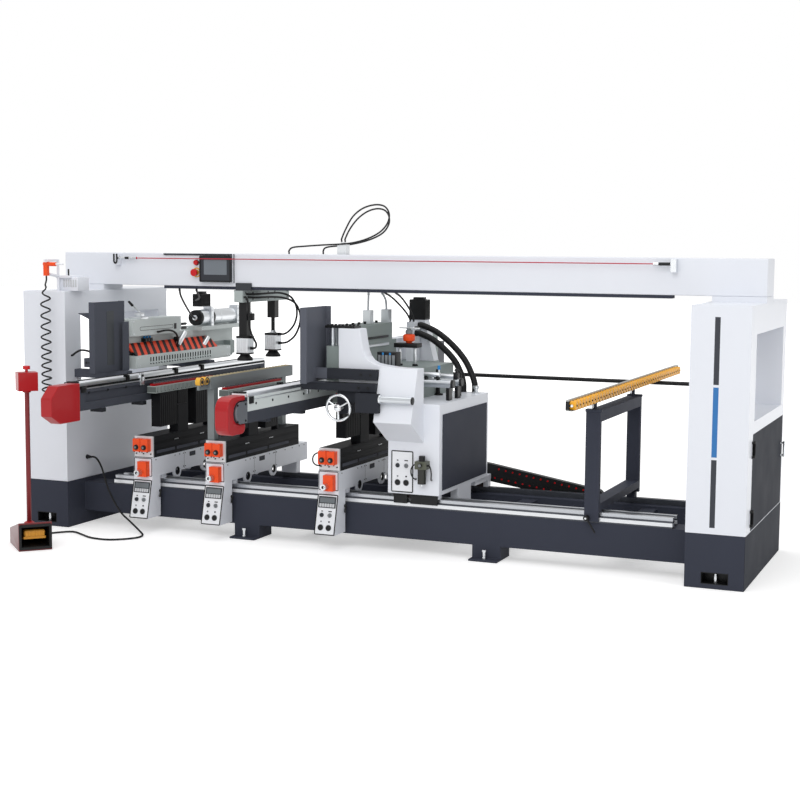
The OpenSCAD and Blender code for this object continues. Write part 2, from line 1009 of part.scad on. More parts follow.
module press_foot(y) {
    translate([press_x, y, press_pad_low]) rotate_extrude() polygon([[0, 0], [press_pad_radius, 0],
        [press_pad_radius, 10], [press_pad_neck, 39], [press_rod_radius, 39],
        [press_rod_radius, press_rod_top - press_pad_low], [0, press_rod_top - press_pad_low]]);
}
module press_feet() {
    color(black) {
        press_foot(press_1_y);
        press_foot(press_2_y);
    }
}
module pedal_place() {
    translate([pedal_x, pedal_y, 0]) rotate([0, 0, pedal_turn]) children();
}
module pedal_housing() {
    color(red) pedal_place() difference() {
        union() {
            side_shape(-pedal_width / 2, pedal_width / 2, [[0, 0], [pedal_depth, 0],
                [pedal_depth, pedal_rear_height], [0, pedal_height]]);
            block(-pedal_boss_half, pedal_boss_half, post_y - pedal_boss_half, post_y + pedal_boss_half,
                pedal_rear_height, pedal_boss_top);
        }
        side_shape(-pedal_width / 2 + pedal_wall, pedal_width / 2 - pedal_wall, [[-1, pedal_floor],
            [pedal_mouth, pedal_floor], [pedal_mouth, pedal_mouth_rear_high],
            [-1, pedal_height - pedal_roof_front]]);
    }
}
module pedestal() {
    color(red) pedal_place() union() {
        upright(post_radius, pedal_boss_top, post_top + 1, 0, post_y);
        difference() {
            block(-head_half, head_half, post_y - head_deep, post_y + head_deep, post_top,
                post_top + head_tall);
            upright(red_stem + push_gap, post_top + head_tall - red_bore, post_top + head_tall + 1, 0,
                post_y);
        }
    }
}
module pedal() {
    reach = pedal_width / 2 - pedal_wall - pedal_end_gap;
    color(orange) pedal_place() union() {
        side_shape(-tread_half, tread_half, [[tread_front, tread_front_low],
            [pedal_pin_y, pedal_pin_z - tread_thick / 2], [pedal_pin_y, pedal_pin_z + tread_thick / 2],
            [tread_front, tread_front_low + tread_thick]]);
        along_x(pedal_pin_r, -reach, reach, pedal_pin_y, pedal_pin_z);
    }
}
module pedestal_button() {
    top = post_top + head_tall;
    color(red) pedal_place() union() {
        upright(red_stem, top - red_bore + push_travel + 4, top + red_lift + 1, 0, post_y);
        upright(red_radius, top + red_lift, top + red_lift + red_thick, 0, post_y);
    }
}
module rear_rod() {
    color(black) union() {
        along_x(rod_radius, rod_left, rod_right, rod_y, rod_z);
        block(rod_right - rod_bracket_half, rod_right + rod_bracket_half, column_depth, rod_bracket_rear,
            rod_bracket_low, rod_bracket_high);
    }
}
module drag_chain() {
    color(black) front_shape(chain_front, chain_rear, [[chain_left, chain_knee], [chain_left, chain_top],
        [chain_left + chain_lead, chain_lead_top], [chain_right - chain_drop, chain_drop_high],
        [chain_right, chain_end_top], [chain_right, rear_top], [chain_right - chain_flat, rear_top]]);
}

// Left horizontal head, mirrored for the right one
module head_body() {
    difference() {
        union() {
            block(head_back - head_thick, head_back, head_front, head_rear, head_low, head_high);
            block(head_back - head_thick, head_back + block_out, block_front, block_rear, head_high,
                block_high);
        }
        for (y = guide_places) along_x(guide_radius + guide_clear, head_back - head_thick - 1,
            head_back + 1, y, guide_z);
    }
}
module drill_box() {
    difference() {
        block(drill_face - drill_thick, drill_face, drill_front, drill_rear, drill_low, drill_high);
        for (i = [0 : spindle_count - 1]) block(drill_face - slot_deep, drill_face + 1,
            slot_first + i * spindle_pitch - slot_half,
            slot_first + i * spindle_pitch + slot_half, slot_low, slot_high);
    }
    for (y = guide_places) along_x(guide_radius, head_back - guide_length + 5,
        drill_face - drill_thick + 1, y, guide_z);
}
module spindles() {
    for (i = [0 : spindle_count - 1]) along_x(spindle_radius, drill_face - slot_deep,
        drill_face + spindle_out,
        slot_first + i * spindle_pitch, spindle_z);
}
module arm_body(front) {
    difference() {
        block(arm_left, arm_right, front, arm_rear, arm_low, arm_top);
        block(arm_right - groove_deep, arm_right + 1, front + 60, arm_rear - 60, arm_low + groove_low,
            arm_low + groove_high);
    }
    block(arm_left + belt_inset, arm_right - belt_inset, front, arm_rear, arm_top,
        arm_top + belt_thick);
    for (y = clamp_places) block(arm_right - clamp_inner, arm_right + clamp_outer, y - clamp_half,
        y + clamp_half,
        arm_top, clamp_high);
    for (y = lug_places) block(arm_right - lug_inner, arm_right + lug_outer, y - lug_half, y + lug_half,
        lug_low, arm_low);
}
module guard_plate() {
    x = drill_face - guard_in;
    block(x - guard_thick, x, guard_front, guard_rear, head_low, guard_high);
    block(x - flange, x, guard_front, guard_front + guard_thick, head_low, guard_high);
    block(x - flange, x, guard_rear - guard_thick, guard_rear, head_low, guard_high);
}
module left_head_frame() {
    color(cast) {
        union() {
            head_body();
            block(head_back - head_thick, head_back + plate_out, drive_front, drive_rear, head_high - 1,
                head_high + drive_base);
            for (y = [plate_1, plate_2]) block(head_back + plate_in, head_back + plate_out, y,
                y + plate_thick, head_high, plate_high);
            along_y(drum_radius, drum_start, plate_1 + 1, head_back + drum_x, drum_z);
            along_y(drum_radius, plate_1 + plate_thick - 1, plate_2 + 1, head_back + drum_x, drum_z);
            block(head_back - 1, head_back + block_out, lug_block_front, lug_block_rear, lug_block_low,
                lug_block_high);
        }
        block(head_back - motor_in, head_back + motor_out, motor_front, motor_rear, plate_high, motor_high);
    }
}
module left_drill_box() {
    color(cast) {
        union() drill_box();
        spindles();
    }
}
module left_striped_guard() {
    x = drill_face;
    color(orange) front_shape(stripe_front, stripe_rear, [[x - stripe_foot, drill_high], [x, drill_high],
        [x, drill_high + stripe_lip], [x - stripe_in, drill_high + stripe_high],
        [x - stripe_back, drill_high + stripe_back_high]]);
}
module left_guard_bracket() {
    color(dark) union() {
        block(column_width, arm_left, bar_front, bar_rear, bar_low, head_low);
        block(column_width, arm_left, bar_2_front, bar_2_rear, bar_low, head_low);
        guard_plate();
        block(drill_face - slim_in - guard_thick, drill_face - slim_in, slim_front, slim_rear, head_low,
            slim_high);
    }
}
module left_arm() {
    color(dark) union() arm_body(arm_front);
}
module left_arm_cover() {
    color(red) side_shape(arm_right + cover_over - cover_wide, arm_right + cover_over, [[cover_front, 800],
        [cover_front, 900],
        [cover_front + 70, cover_high], [arm_front, cover_high], [arm_front, cover_low],
            [cover_front + 85, cover_low]]);
}

// Vertical boring units
module carriage(side) {
    left = side - unit_width;
    color(white) difference() {
        union() {
            side_shape(left, side, [[box_foot_y, box_low], [box_lean_y, box_lean_z], [carriage_front,
                carriage_low],
                [carriage_front, carriage_top], [carriage_rear, carriage_top], [carriage_rear,
                    carriage_low],
                [box_back, carriage_low], [box_back, box_low]]);
            block(left + slider_inset, side - slider_inset, slider_front, slider_rear,
                front_rail_top + slide_gap,
                carriage_low + 1);
            block(left + slider_inset, side - slider_inset, rear_rail_y - rear_slider,
                rear_rail_y + rear_slider,
                rear_rail_top + slide_gap, carriage_low + 1);
            for (y = [ear_1, ear_2]) for (x = [left, side - ear_thick]) along_x(ear_radius, x,
                x + ear_thick, y, carriage_low);
            block(left, side, front_plate_front, base_front, carriage_top, base_top);
        }
        for (y = [ear_1, ear_2]) along_x(ear_hole, left - 1, side + 1, y, carriage_low);
    }
}
module unit_base(side) {
    x = side - bank_side - bank_width / 2;
    color(black) difference() {
        union() {
            block(side - unit_width, side, base_front, base_rear, carriage_top, base_top);
            upright(lift_radius + lift_sleeve, base_top - 1, base_top + lift_sleeve_high, x, lift_y_2);
            block(x - bank_width / 2, x + bank_width / 2, lift_y_1 - guide_block_half,
                lift_y_1 + guide_block_half, base_top - 1, base_top + lift_sleeve_high);
        }
        for (y = [lift_y_1, lift_y_2]) upright(lift_radius + lift_clear, base_top + lift_floor,
            base_top + lift_sleeve_high + 1, x, y);
    }
}
module counters(side) {
    left = side - unit_width;
    color(orange) {
        for (k = [0, 1]) block(left + twin_inset + k * (twin_width + twin_gap),
            left + twin_inset + k * (twin_width + twin_gap) + twin_width,
            front_plate_front - twin_deep, front_plate_front, twin_low, twin_high);
        difference() {
            block(left + single_inset, left + single_inset + single_width, carriage_front - single_deep,
                carriage_front,
                single_low, single_high);
            along_y(handle_shaft + handle_clear, carriage_front - single_deep - 1,
                carriage_front - single_deep + handle_shaft_length + 2,
                left + handle_x, handle_z);
        }
    }
}
module counter_handle(side) {
    x = side - unit_width + handle_x;
    face = carriage_front - single_deep - slide_gap;
    color(cast) union() {
        along_y(handle_radius, face - handle_length, face, x, handle_z);
        along_y(handle_shaft, face - 1, face + handle_shaft_length, x, handle_z);
        along_y(nub_radius, face - handle_length - nub_length, face - handle_length + 1,
            x + handle_radius - nub_radius - 2, handle_z);
    }
}
module drill_head(side) {
    right = side - bank_side;
    left = right - bank_width;
    x = right - bank_width / 2;
    color(cast) union() {
        block(left, right, bank_front, bank_rear, bank_low, bank_high);
        block(left + strip_inset, right - strip_inset, bank_front + 10, bank_rear - 10, bank_high,
            strip_high);
        for (i = [0 : chuck_count - 1]) upright(chuck_radius, strip_high - 1, chuck_high, x,
            chuck_first + i * chuck_pitch);
        block(left, right, motor_1_front, motor_1_rear, base_top + motor_gap + motor_1_lift, bank_low);
        block(left, right, lift_y_1 - guide_block_half, lift_y_1 + guide_block_half,
            base_top + lift_sleeve_high + guide_block_gap, bank_low);
        block(left, right, motor_2_front, motor_2_rear, base_top + motor_gap, bank_low);
        for (y = [lift_y_1, lift_y_2]) upright(lift_radius, base_top + lift_low, bank_low + 1, x, y);
    }
}
module unit_1_carriage() { carriage(unit_1_side); }
module unit_1_base() { unit_base(unit_1_side); }
module unit_1_counters() { counters(unit_1_side); }
module unit_1_handle() { counter_handle(unit_1_side); }
module unit_1_drill_head() { drill_head(unit_1_side); }
module unit_2_carriage() { carriage(unit_2_side); }
module unit_2_base() { unit_base(unit_2_side); }
module unit_2_counters() { counters(unit_2_side); }
module unit_2_handle() { counter_handle(unit_2_side); }
module unit_2_drill_head() { drill_head(unit_2_side); }
module unit_3_carriage() { carriage(unit_3_side); }
module unit_3_base() { unit_base(unit_3_side); }
module unit_3_counters() { counters(unit_3_side); }
module unit_3_handle() { counter_handle(unit_3_side); }
module unit_3_drill_head() { drill_head(unit_3_side); }
module middle_roller_bar() {
    left = unit_2_side - unit_width - mid_left;
    right = left + mid_width;
    color(yellow) {
        union() {
            block(left, right, mid_front, mid_rear, mid_low, mid_floor);
            block(left, left + mid_wall, mid_front, mid_rear, mid_low, mid_side_high);
            block(right - mid_wall, right, mid_front, mid_rear, mid_low, mid_side_high);
            block(left + mid_tongue_inset, right - mid_tongue_inset, mid_front - mid_tongue, mid_front + 1,
                mid_low, mid_floor - mid_tongue_drop);
            for (i = [0, 1]) along_x(mid_wheel_r, left + mid_wheel_inset, right - mid_wheel_inset,
                mid_front - mid_wheel_first - i * mid_wheel_pitch, mid_wheel_z);
            for (y = [mid_post_1, mid_post_2]) block(left + mid_post_inset, right - mid_post_inset, y,
                y + mid_post_deep, base_top, mid_low);
        }
        for (i = [0 : mid_count - 1]) along_x(mid_roller_radius, left + mid_wall + mid_roller_gap,
            right - mid_wall - mid_roller_gap,
            mid_first + i * mid_pitch, mid_floor + mid_roller_radius + mid_roller_gap);
    }
}

// Right horizontal head
module right_cabinet() {
    color(white) union() {
        block(cab_left, cab_right, cab_front, cab_rear, cab_low, cab_high);
        front_shape(shroud_front, cab_front, [[shroud_left, shroud_low], [shroud_left, shroud_high],
            [shroud_join - 125, shroud_high], [shroud_join - 112, 1205], [shroud_join - 102, 1160],
            [shroud_join - 88, 1128], [shroud_join - 68, 1105], [shroud_join - 40, 1090],
            [shroud_join, 1082], [shroud_join, shroud_low]]);
        intersection() {
            front_shape(chin_front - 1, cab_front, [[shroud_join, 1082], [shroud_join + 40, 1077],
                [shroud_join + 85, 1072], [shroud_join + 132, 1069], [bulge_right, 1069],
                [bulge_right, 640], [shroud_join + 5, 640], [shroud_join, 785]]);
            side_shape(shroud_join - 1, bulge_right + 1, [[shroud_front, 1110], [shroud_front, 1070],
                [chin_front, 770],
                [cab_front, 645], [cab_front, 1110]]);
        }
        for (x = [skid_1, skid_2]) block(x, x + skid_length, slider_front, slider_rear,
            front_rail_top + slide_gap, cab_low);
        block(skid_1, tail_right, tail_front, tail_rear, tail_low, cab_low);
        block(skid_1, tail_right, rear_rail_y - rear_slider, rear_rail_y + rear_slider,
            rear_rail_top + slide_gap, tail_low);
        block(cab_right - leg_width, cab_right, leg_front, leg_rear, leg_low, cab_low);
    }
}
module right_side_panel() {
    color(dark) block(cab_right, cab_right + panel_thick, cab_front + 45, cab_rear - 35, cab_low + 27,
        cab_high - 59);
}
module right_head_frame() {
    x = 2 * heads_middle - head_back;
    color(cast) difference() {
        union() {
            facing() head_body();
            block(x + head_thick, cab_left, bridge_front, bridge_rear, bridge_low, bridge_high);
            block(cab_left, pillar_right, bridge_front, bridge_rear, cab_high, bridge_high);
            block(x + head_thick, rhouse_foot + shelf_over, shelf_front, shelf_rear, bridge_low,
                bridge_high);
            block(stand_left, stand_right, stand_front, stand_rear, bridge_high, drive_high - stand_drop);
            front_shape(rmotor_front, rmotor_rear, [[rmotor_x - rmotor_half, bridge_high],
                [rmotor_x - rmotor_half, drive_high], [rhouse_right, drive_high],
                [rhouse_foot, bridge_high]]);
            block(rmotor_x - rmotor_half, rmotor_x + rmotor_half, rmotor_front, rmotor_rear, drive_high,
                motor_high);
            block(x, x + head_thick, head_rear, hang_rear, hang_low, head_high - 60);
        }
        along_x(rod_radius + rod_clear, x - 1, x + head_thick + 1, rod_y, rod_z);
    }
}
module right_guard_bracket() {
    left = 2 * heads_middle - arm_left;
    beam_x = 2 * heads_middle - head_back;
    color(dark) {
        difference() {
            union() {
                block(left, shroud_join, hang_bar_front, shroud_front, shroud_low, head_low);
                block(left, cross_bar_right, cross_bar_front, shroud_front, cross_bar_low, cross_bar_high);
                facing() guard_plate();
                block(bearing_left, cross_bar_right, cross_bar_front, bearing_rear, bearing_block_low,
                    shroud_low);
                block(bearing_left, bearing_right, cross_bar_front, bearing_rear, bearing_low, shroud_low);
                block(lug_left, cross_bar_right, lug_front, cross_bar_front, lug_bottom, lug_top);
                block(lug_left, bar_block_right, lug_front, bar_block_rear, bar_block_low, lug_top);
            }
            along_y(shaft_radius + shaft_clear, cross_bar_front - 1, bearing_rear + 1, wheel_x, wheel_z);
        }
        block(left, beam_x + head_thick, bar_2_front, bar_2_rear, bar_low, head_low);
    }
}
module right_drill_box() {
    color(cast) facing() {
        union() drill_box();
        spindles();
    }
}
module right_arm() {
    color(dark) facing() union() {
        arm_body(right_arm_front);
        along_x(end_plate_r, arm_left, arm_left + end_plate_thick, end_plate_y, end_plate_z);
        block(arm_left, arm_left + end_plate_thick, end_plate_y, right_arm_front + 1,
            end_plate_z - end_plate_r, end_plate_z + end_plate_r);
    }
}
// A round corner of a side shape as [y, z] points
function corner(y, z, r, from, to) = [for (i = [0 : 6]) let (a = from + (to - from) * i / 6)
    [y + r * cos(a), z + r * sin(a)]];
module right_arm_cover() {
    rear = right_arm_front;
    slot_r = end_plate_r + end_plate_gap;
    x = arm_left + end_plate_thick + end_cover_in;
    color(red) facing() side_shape(x, x + end_cover_wide, concat([[rear, end_cover_high]],
        corner(cover_front + end_cover_top_r, end_cover_high - end_cover_top_r, end_cover_top_r, 90, 180),
        corner(cover_front + end_cover_low_r, end_cover_low + end_cover_low_r, end_cover_low_r, 180, 270),
        corner(rear - end_cover_rear_r, end_cover_low + end_cover_rear_r, end_cover_rear_r, 270, 360),
        [[rear, end_plate_z - slot_r]], corner(end_plate_y, end_plate_z, slot_r, 270, 90),
        [[rear, end_plate_z + slot_r]]));
}
module handwheel() {
    color(steel) union() {
        translate([wheel_x, wheel_y, wheel_z]) rotate([90, 0,
            0]) rotate_extrude() translate([wheel_radius, 0]) circle(r = wheel_rim);
        along_y(hub_radius, hub_front, hub_rear, wheel_x, wheel_z);
        along_y(shaft_radius, hub_rear - 1, shaft_end, wheel_x, wheel_z);
        for (a = [90, 210, 330]) translate([wheel_x, wheel_y, wheel_z]) rotate([0, a, 0])
            along_x(spoke_radius, hub_radius - 4, wheel_radius, 0, 0);
    }
}
module right_fittings() {
    color(steel) {
        union() {
            for (x = [tie_x_1, tie_x_2]) upright(tie_radius, head_high, shroud_high + 1, x, tie_y);
            block(cap_left, cap_right, cap_front, cap_rear, shroud_high, shroud_high + cap_thick);
        }
        for (p = small_places) block(p[0] - small_half, p[0] + small_half, p[1] - small_half,
            p[1] + small_half, block_high, small_high);
        along_x(round_bar_r, bar_block_right, round_bar_right, round_bar_y, round_bar_z);
        for (y = [ram_y_1, ram_y_2]) union() {
            along_x(ram_r, pillar_right, ram_right, y, ram_z);
            block(ram_right - 40, ram_right - 20, y - ram_r, y + ram_r, cab_high, ram_z);
        }
        union() {
            upright(bowl_r, bowl_low, bowl_high + 1, filter_x, filter_y);
            block(filter_x - filter_half, filter_x + filter_half, filter_y - bowl_r, cab_front, bowl_high,
                filter_high);
            upright(filter_knob_r, filter_high - 1, filter_knob_high, filter_x, filter_y);
        }
    }
}

// Roller support
module roller_frame() {
    x0 = frame_side;
    x1 = frame_side + frame_width;
    middle = frame_side + frame_width / 2;
    color(dark) union() {
        block(x0, x1, post_front, post_front + post_deep, front_rail_top + slide_gap, frame_top);
        block(x0, x1, post_front, post_front + flap_deep, flap_low, front_rail_top + 1);
        block(x0, x1, post_front, slider_rear, front_rail_top + slide_gap, frame_bar_low + 1);
        block(x0, x1, post_2_front, post_2_front + post_deep, far_low, frame_top);
        block(x0 + rail_bar_inset, x1 - rail_bar_inset, rear_rail_y - rear_slider,
            rear_rail_y + rear_slider,
            rear_rail_top + slide_gap, far_low + 1);
        block(x0, x1, post_front + post_deep - 1, post_2_front + 1, frame_top - frame_top_bar, frame_top);
        block(x0, x1, post_front + post_deep - 1, post_2_front + 1, frame_bar_low, frame_bar_high);
        for (y = [screw_1, screw_2]) upright(screw_radius, frame_top - 1, bar_base, middle, y);
    }
}
module roller_bar() {
    middle = frame_side + frame_width / 2;
    left = middle - bar_half;
    color(yellow) {
        union() {
            block(left, left + bar_web, bar_front_end, bar_rear_end, bar_base, bar_base + bar_height);
            block(left, middle + bar_flange_reach, bar_front_end, bar_rear_end, bar_base,
                bar_base + bar_flange);
        }
        for (i = [0 : roller_number - 1]) along_x(roller_radius, left + bar_web + roller_gap,
            middle + bar_half, bar_front_end + roller_first + i * roller_pitch,
            bar_base + bar_flange + roller_gap + roller_radius);
    }
}
module clamp_lever() {
    x = frame_side + lever_x;
    color(black) union() {
        along_y(lever_hub_r, lever_hub_front, post_front - slide_gap, x, lever_z);
        translate([x, lever_hub_front + 14, lever_z]) rotate([0, lever_turn,
            0]) cylinder(r = lever_radius, h = lever_length);
    }
}

// Cords
cord_gap = 0.5;
function behind_pedal(y, z) = [pedal_x - sin(pedal_turn) * y, pedal_y + cos(pedal_turn) * y, z];
cable_path = [behind_pedal(pedal_depth + cord_gap, 40), behind_pedal(pedal_depth + 10, 40),
    behind_pedal(pedal_depth + 20, 40), [291, -395, 26], [301, -300, 9], [366, -190, 7],
    [436, -130, 7], [536, -180, 7], [646, -240, 7], [776, -243, 7], [876, -150, 7],
    [886, -60, 8], [826, 0, 22], [726, 55, 60], [622, 95, 115], [536, 105, 240],
    [466, 140, 365], [386, 195, 415], [331, 209, 417], [321, 209, 417],
    [column_width + cord_gap, 209, 417]];
module pedal_cable() {
    color(black) tube(smooth(cable_path, 4), [cable_radius], 8, [0, 0, 1]);
}
curl_top = [curl_x, gun_y, 1500];
curl_low = [curl_x, gun_y, 800];
curl_rings = 8;
// Share by which the curls crowd together towards the bottom
curl_crowd = 0.3;
curl_path = concat(
    [for (z = [gun_grip_low - cord_gap, 1545, 1530]) [gun_x - gun_grip / 2, gun_y, z]],
    [for (i = [0 : curl_count * curl_rings]) let (f = i / (curl_count * curl_rings),
        a = 360 * i / curl_rings,
        e = min(1, min(f * 12, (1 - f) * 12)))
        curl_top + f * (1 + curl_crowd * (1 - f)) * (curl_low - curl_top)
            + curl_radius * e * [cos(a), sin(a), 0]],
    [[curl_x, gun_y + 2, 775], [curl_x, gun_y + 16, 756], [curl_x, gun_y + 34, 750], [curl_x, -10, 750],
    [curl_x, -cord_gap, 750]]);
// Least distance between the outsides of two turns, over points half a turn or more apart
curl_gap = min([for (i = [0 : len(curl_path) - 1 - curl_rings / 2])
    for (j = [i + curl_rings / 2 : len(curl_path) - 1]) norm(curl_path[i] - curl_path[j]) - 2 * curl_tube]);
echo(curly_hose_least_gap_to_itself = curl_gap);
module curly_hose() {
    color(black) tube(curl_path, [curl_tube], 6, [1, 0, 0]);
}
loop_foot = beam_top + fitting_high + 14 + cord_gap;
loop_end = beam_top + cord_gap;
loop_1 = [for (z = [0, 10, 20]) [fitting_x - 8, fitting_y - 8, loop_foot + z],
    [1946, 545, 1850], [1992, 543, 1922], [2058, 541, 1971], [2137, 538, 1992], [2202, 533, 1983],
    [2235, 527, 1941], [2229, 521, 1886], [2183, 515, 1832], [2104, 509, 1792], [2012, 506, 1768],
    [1926, 505, 1759], [1808, 505, 1753], [1690, 505, 1745], [1610, 505, 1737], for (z = [20, 10, 0])
    [1586, 505, loop_end + z]];
loop_2 = [for (z = [0, 10, 20]) [fitting_x + 8, fitting_y + 8, loop_foot + z],
    [1964, 565, 1850], [2014, 566, 1910], [2076, 568, 1953], [2141, 570, 1970], [2191, 573, 1958],
    [2214, 577, 1920], [2208, 583, 1875], [2168, 592, 1828], [2096, 600, 1793], [2006, 606, 1768],
    [1906, 608, 1752], [1816, 608, 1744], [1778, 608, 1735], for (z = [20, 10, 0])
    [1766, 608, loop_end + z]];
module beam_hoses() {
    color(black) {
        tube(smooth(loop_1, 4), [loop_radius], 8, [0, 1, 0]);
        tube(smooth(loop_2, 4), [loop_radius], 8, [0, 1, 0]);
    }
}
hose_start = stand_right + cord_gap;
hose_end = cab_high + cord_gap;
hose_1 = [for (x = [0, 10, 25]) [hose_start + x, 925, 1215], [2351, 925, 1185], [2431, 925, 1130],
    [2506, 925, 1055], [2548, 925, 980], [2564, 925, 925], for (z = [30, 15, 0]) [2567, 925, hose_end + z]];
hose_2 = [for (x = [0, 10, 25]) [hose_start + x, 975, 1262], [2366, 975, 1225], [2471, 970, 1150],
    [2561, 955, 1060], [2618, 935, 970], [2638, 926, 922], for (z = [30, 15, 0]) [2641, 925, hose_end + z]];
module head_hoses() {
    color(black) {
        tube(smooth(hose_1, 4), [hose_radius], 10, [0, 1, 0]);
        tube(smooth(hose_2, 4), [hose_radius], 10, [0, 1, 0]);
    }
}

place() bed_frame();
place() guide_rails();
place() levelling_bolts();
place() left_column();
place() right_column();
place() beam();
place() cable_duct();
place() by_left() control_station();
place() by_left() screen_glass();
place() pull_wire();
place() by_left() beam_fittings();
place() by_left() press_unit();
place() by_left() blow_gun();
place() by_left() pedestal();
place() by_left() pedal_housing();
place() by_left() left_head_frame();
place() by_left() left_guard_bracket();
place() by_left() left_arm();
place() by_left() left_arm_cover();
place() rear_rod();
place() by_left() drag_chain();
place() by_left() beam_hoses();
place() by_left() curly_hose();
place() by_left() pedal_cable();
place() column_door();
place() by_left() left_drill_box();
place() by_left() left_striped_guard();
place() by_left() unit_1_carriage();
place() by_left() unit_1_base();
place() by_left() unit_1_counters();
place() by_left() unit_1_handle();
place() by_left() unit_1_drill_head();
place() by_left() unit_2_carriage();
place() by_left() unit_2_base();
place() by_left() unit_2_counters();
place() by_left() unit_2_handle();
place() by_left() unit_2_drill_head();
place() by_left() middle_roller_bar();
place() by_left() unit_3_carriage();
place() by_left() unit_3_base();
place() by_left() unit_3_counters();
place() by_left() unit_3_handle();
place() by_left() unit_3_drill_head();
place() by_left() right_cabinet();
place() by_left() right_side_panel();
place() by_left() right_head_frame();
place() by_left() right_guard_bracket();
place() by_left() right_arm();
place() by_left() right_arm_cover();
place() by_left() right_drill_box();
place() by_left() right_fittings();
place() by_left() handwheel();
place() by_left() head_hoses();
place() by_right() roller_frame();
place() by_right() roller_bar();
place() by_right() clamp_lever();
place() by_left() estop_button();
place() by_left() press_feet();
place() by_left() pedal();
place() by_left() pedestal_button();
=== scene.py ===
# Looks for the line boring machine: finishes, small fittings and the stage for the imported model.
import math

import bmesh
import bpy
from bpy.props import FloatProperty, FloatVectorProperty, PointerProperty
from mathutils import Matrix, Vector


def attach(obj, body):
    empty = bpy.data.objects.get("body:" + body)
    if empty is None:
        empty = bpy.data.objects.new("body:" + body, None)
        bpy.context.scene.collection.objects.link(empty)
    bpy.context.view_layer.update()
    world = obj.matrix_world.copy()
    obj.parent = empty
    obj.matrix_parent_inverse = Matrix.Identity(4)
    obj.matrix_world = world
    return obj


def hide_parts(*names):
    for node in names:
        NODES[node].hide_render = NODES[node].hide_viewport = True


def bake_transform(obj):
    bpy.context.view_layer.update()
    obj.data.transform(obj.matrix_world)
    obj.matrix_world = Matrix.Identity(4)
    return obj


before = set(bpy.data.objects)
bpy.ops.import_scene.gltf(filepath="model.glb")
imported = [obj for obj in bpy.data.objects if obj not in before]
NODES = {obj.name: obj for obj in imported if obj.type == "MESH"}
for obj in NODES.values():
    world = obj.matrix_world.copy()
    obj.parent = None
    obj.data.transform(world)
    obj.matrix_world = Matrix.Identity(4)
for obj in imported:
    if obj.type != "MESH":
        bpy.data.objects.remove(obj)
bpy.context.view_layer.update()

bl_info = {
    "name": "Line boring machine",
    "version": (1, 0, 0),
    "blender": (4, 5, 0),
    "location": "View3D > Sidebar > Boring machine",
    "description": "Finishes, small fittings and stage for a line boring machine",
    "category": "Object",
}

# Sizes below are in millimetres with x = 0 midway between the columns and y = 0 at the column fronts,
# as in the part's source. PLACE takes them to the row frame in metres.
SHIFT = Vector((-0.013, -0.735, 0.0))
PLACE = Matrix.Translation(SHIFT) @ Matrix.Scale(0.001, 4)
RIGHT = (1, 0, 0)
FRONT = (0, -1, 0)
REAR = (0, 1, 0)
UP = (0, 0, 1)
# Turns a flat drawing so that it stands upright and faces the front
UPRIGHT = Matrix(((1, 0, 0), (0, 0, -1), (0, 1, 0))).to_4x4()
# Number and right side of each drill unit, and the size of its sloping panel
UNITS = ((1, -1348), (2, -848), (3, -98))
UNIT_WIDTH = 130
PANEL_RISE = 230
PANEL_RUN = 55
RAIL_FOOT = 262
HOOK_Y = 394
PEDAL = Matrix.Translation((-1669, -661, 0)) @ Matrix.Rotation(math.radians(47), 4, "Z")
# Camera: place in millimetres of the row frame, yaw, pitch and roll in degrees, and focal length.
# Lamps and floor are in metres.
CAMERA_PLACE = Vector((3474, -8263, 1750))
CAMERA_ANGLES = (22.883, 5.943, -0.404)
CAMERA_LENS = 66.53
LAMP_SIZE = 6.0
LAMP_AIM = Vector((0, 0, 0.8))
FLOOR_REACH = 40
FLOOR_DROP = 0.0005
# Edges that meet at more than this angle look sharp, and rims of bars are rounded above the second one
SHARP_ANGLE = math.radians(40)
RIM_ANGLE = 0.8
# Rounding takes no more than this share of a box's thinnest side
EDGE_SHARE = 0.45


def linear(colour):
    """Linear values of an sRGB hex colour; the values of a setting are linear already."""
    if not isinstance(colour, str):
        return tuple(colour)
    parts = [int(colour[i:i + 2], 16) / 255 for i in (1, 3, 5)]
    return tuple(c / 12.92 if c <= 0.04045 else ((c + 0.055) / 1.055) ** 2.4 for c in parts)


def colour_setting(title, words, colour):
    """A colour that a user may change."""
    return FloatVectorProperty(name=title, description=words, subtype="COLOR", size=3, min=0.0, max=1.0,
                               default=linear(colour))


class BoringColours(bpy.types.PropertyGroup):
    """Paint and plastic colours of the machine"""
    white: colour_setting("White enamel", "Columns, beam, cabinet and carriages", "#E2E5EC")
    dark: colour_setting("Dark enamel", "Bed, bases, cable duct and the roller frame", "#3B3E49")
    black: colour_setting("Black enamel", "Rear rod", "#131417")
    red: colour_setting("Red enamel", "Arm covers and pedestal", "#A5171D")
    grey: colour_setting("Grey casting paint", "Right head", "#8C9694")
    orange: colour_setting("Orange plastic", "Counters and air gun", "#EE4F1C")
    yellow: colour_setting("Yellow plastic", "Rollers", "#E8A51E")
    blue: colour_setting("Blue strip", "Middle part of the strip on the right column", "#2B6FAE")


class BoringSizes(bpy.types.PropertyGroup):
    """Sizes of the small fittings"""
    screw: FloatProperty(name="Screw head", description="Radius of a socket screw head", subtype="DISTANCE",
                         unit="LENGTH", min=0.0, default=0.0065)


# Materials


def put(tree, kind, values=None):
    """Adds a node; values holds its settings and, for its inputs, numbers, sockets or nodes to link."""
    made = tree.nodes.new(kind)
    for name, value in (values or {}).items():
        if isinstance(value, bpy.types.Node):
            value = value.outputs[0]
        if isinstance(value, bpy.types.NodeSocket):
            tree.links.new(value, made.inputs[name])
        elif isinstance(name, str) and hasattr(made, name):
            setattr(made, name, value)
        else:
            made.inputs[name].default_value = value
    return made


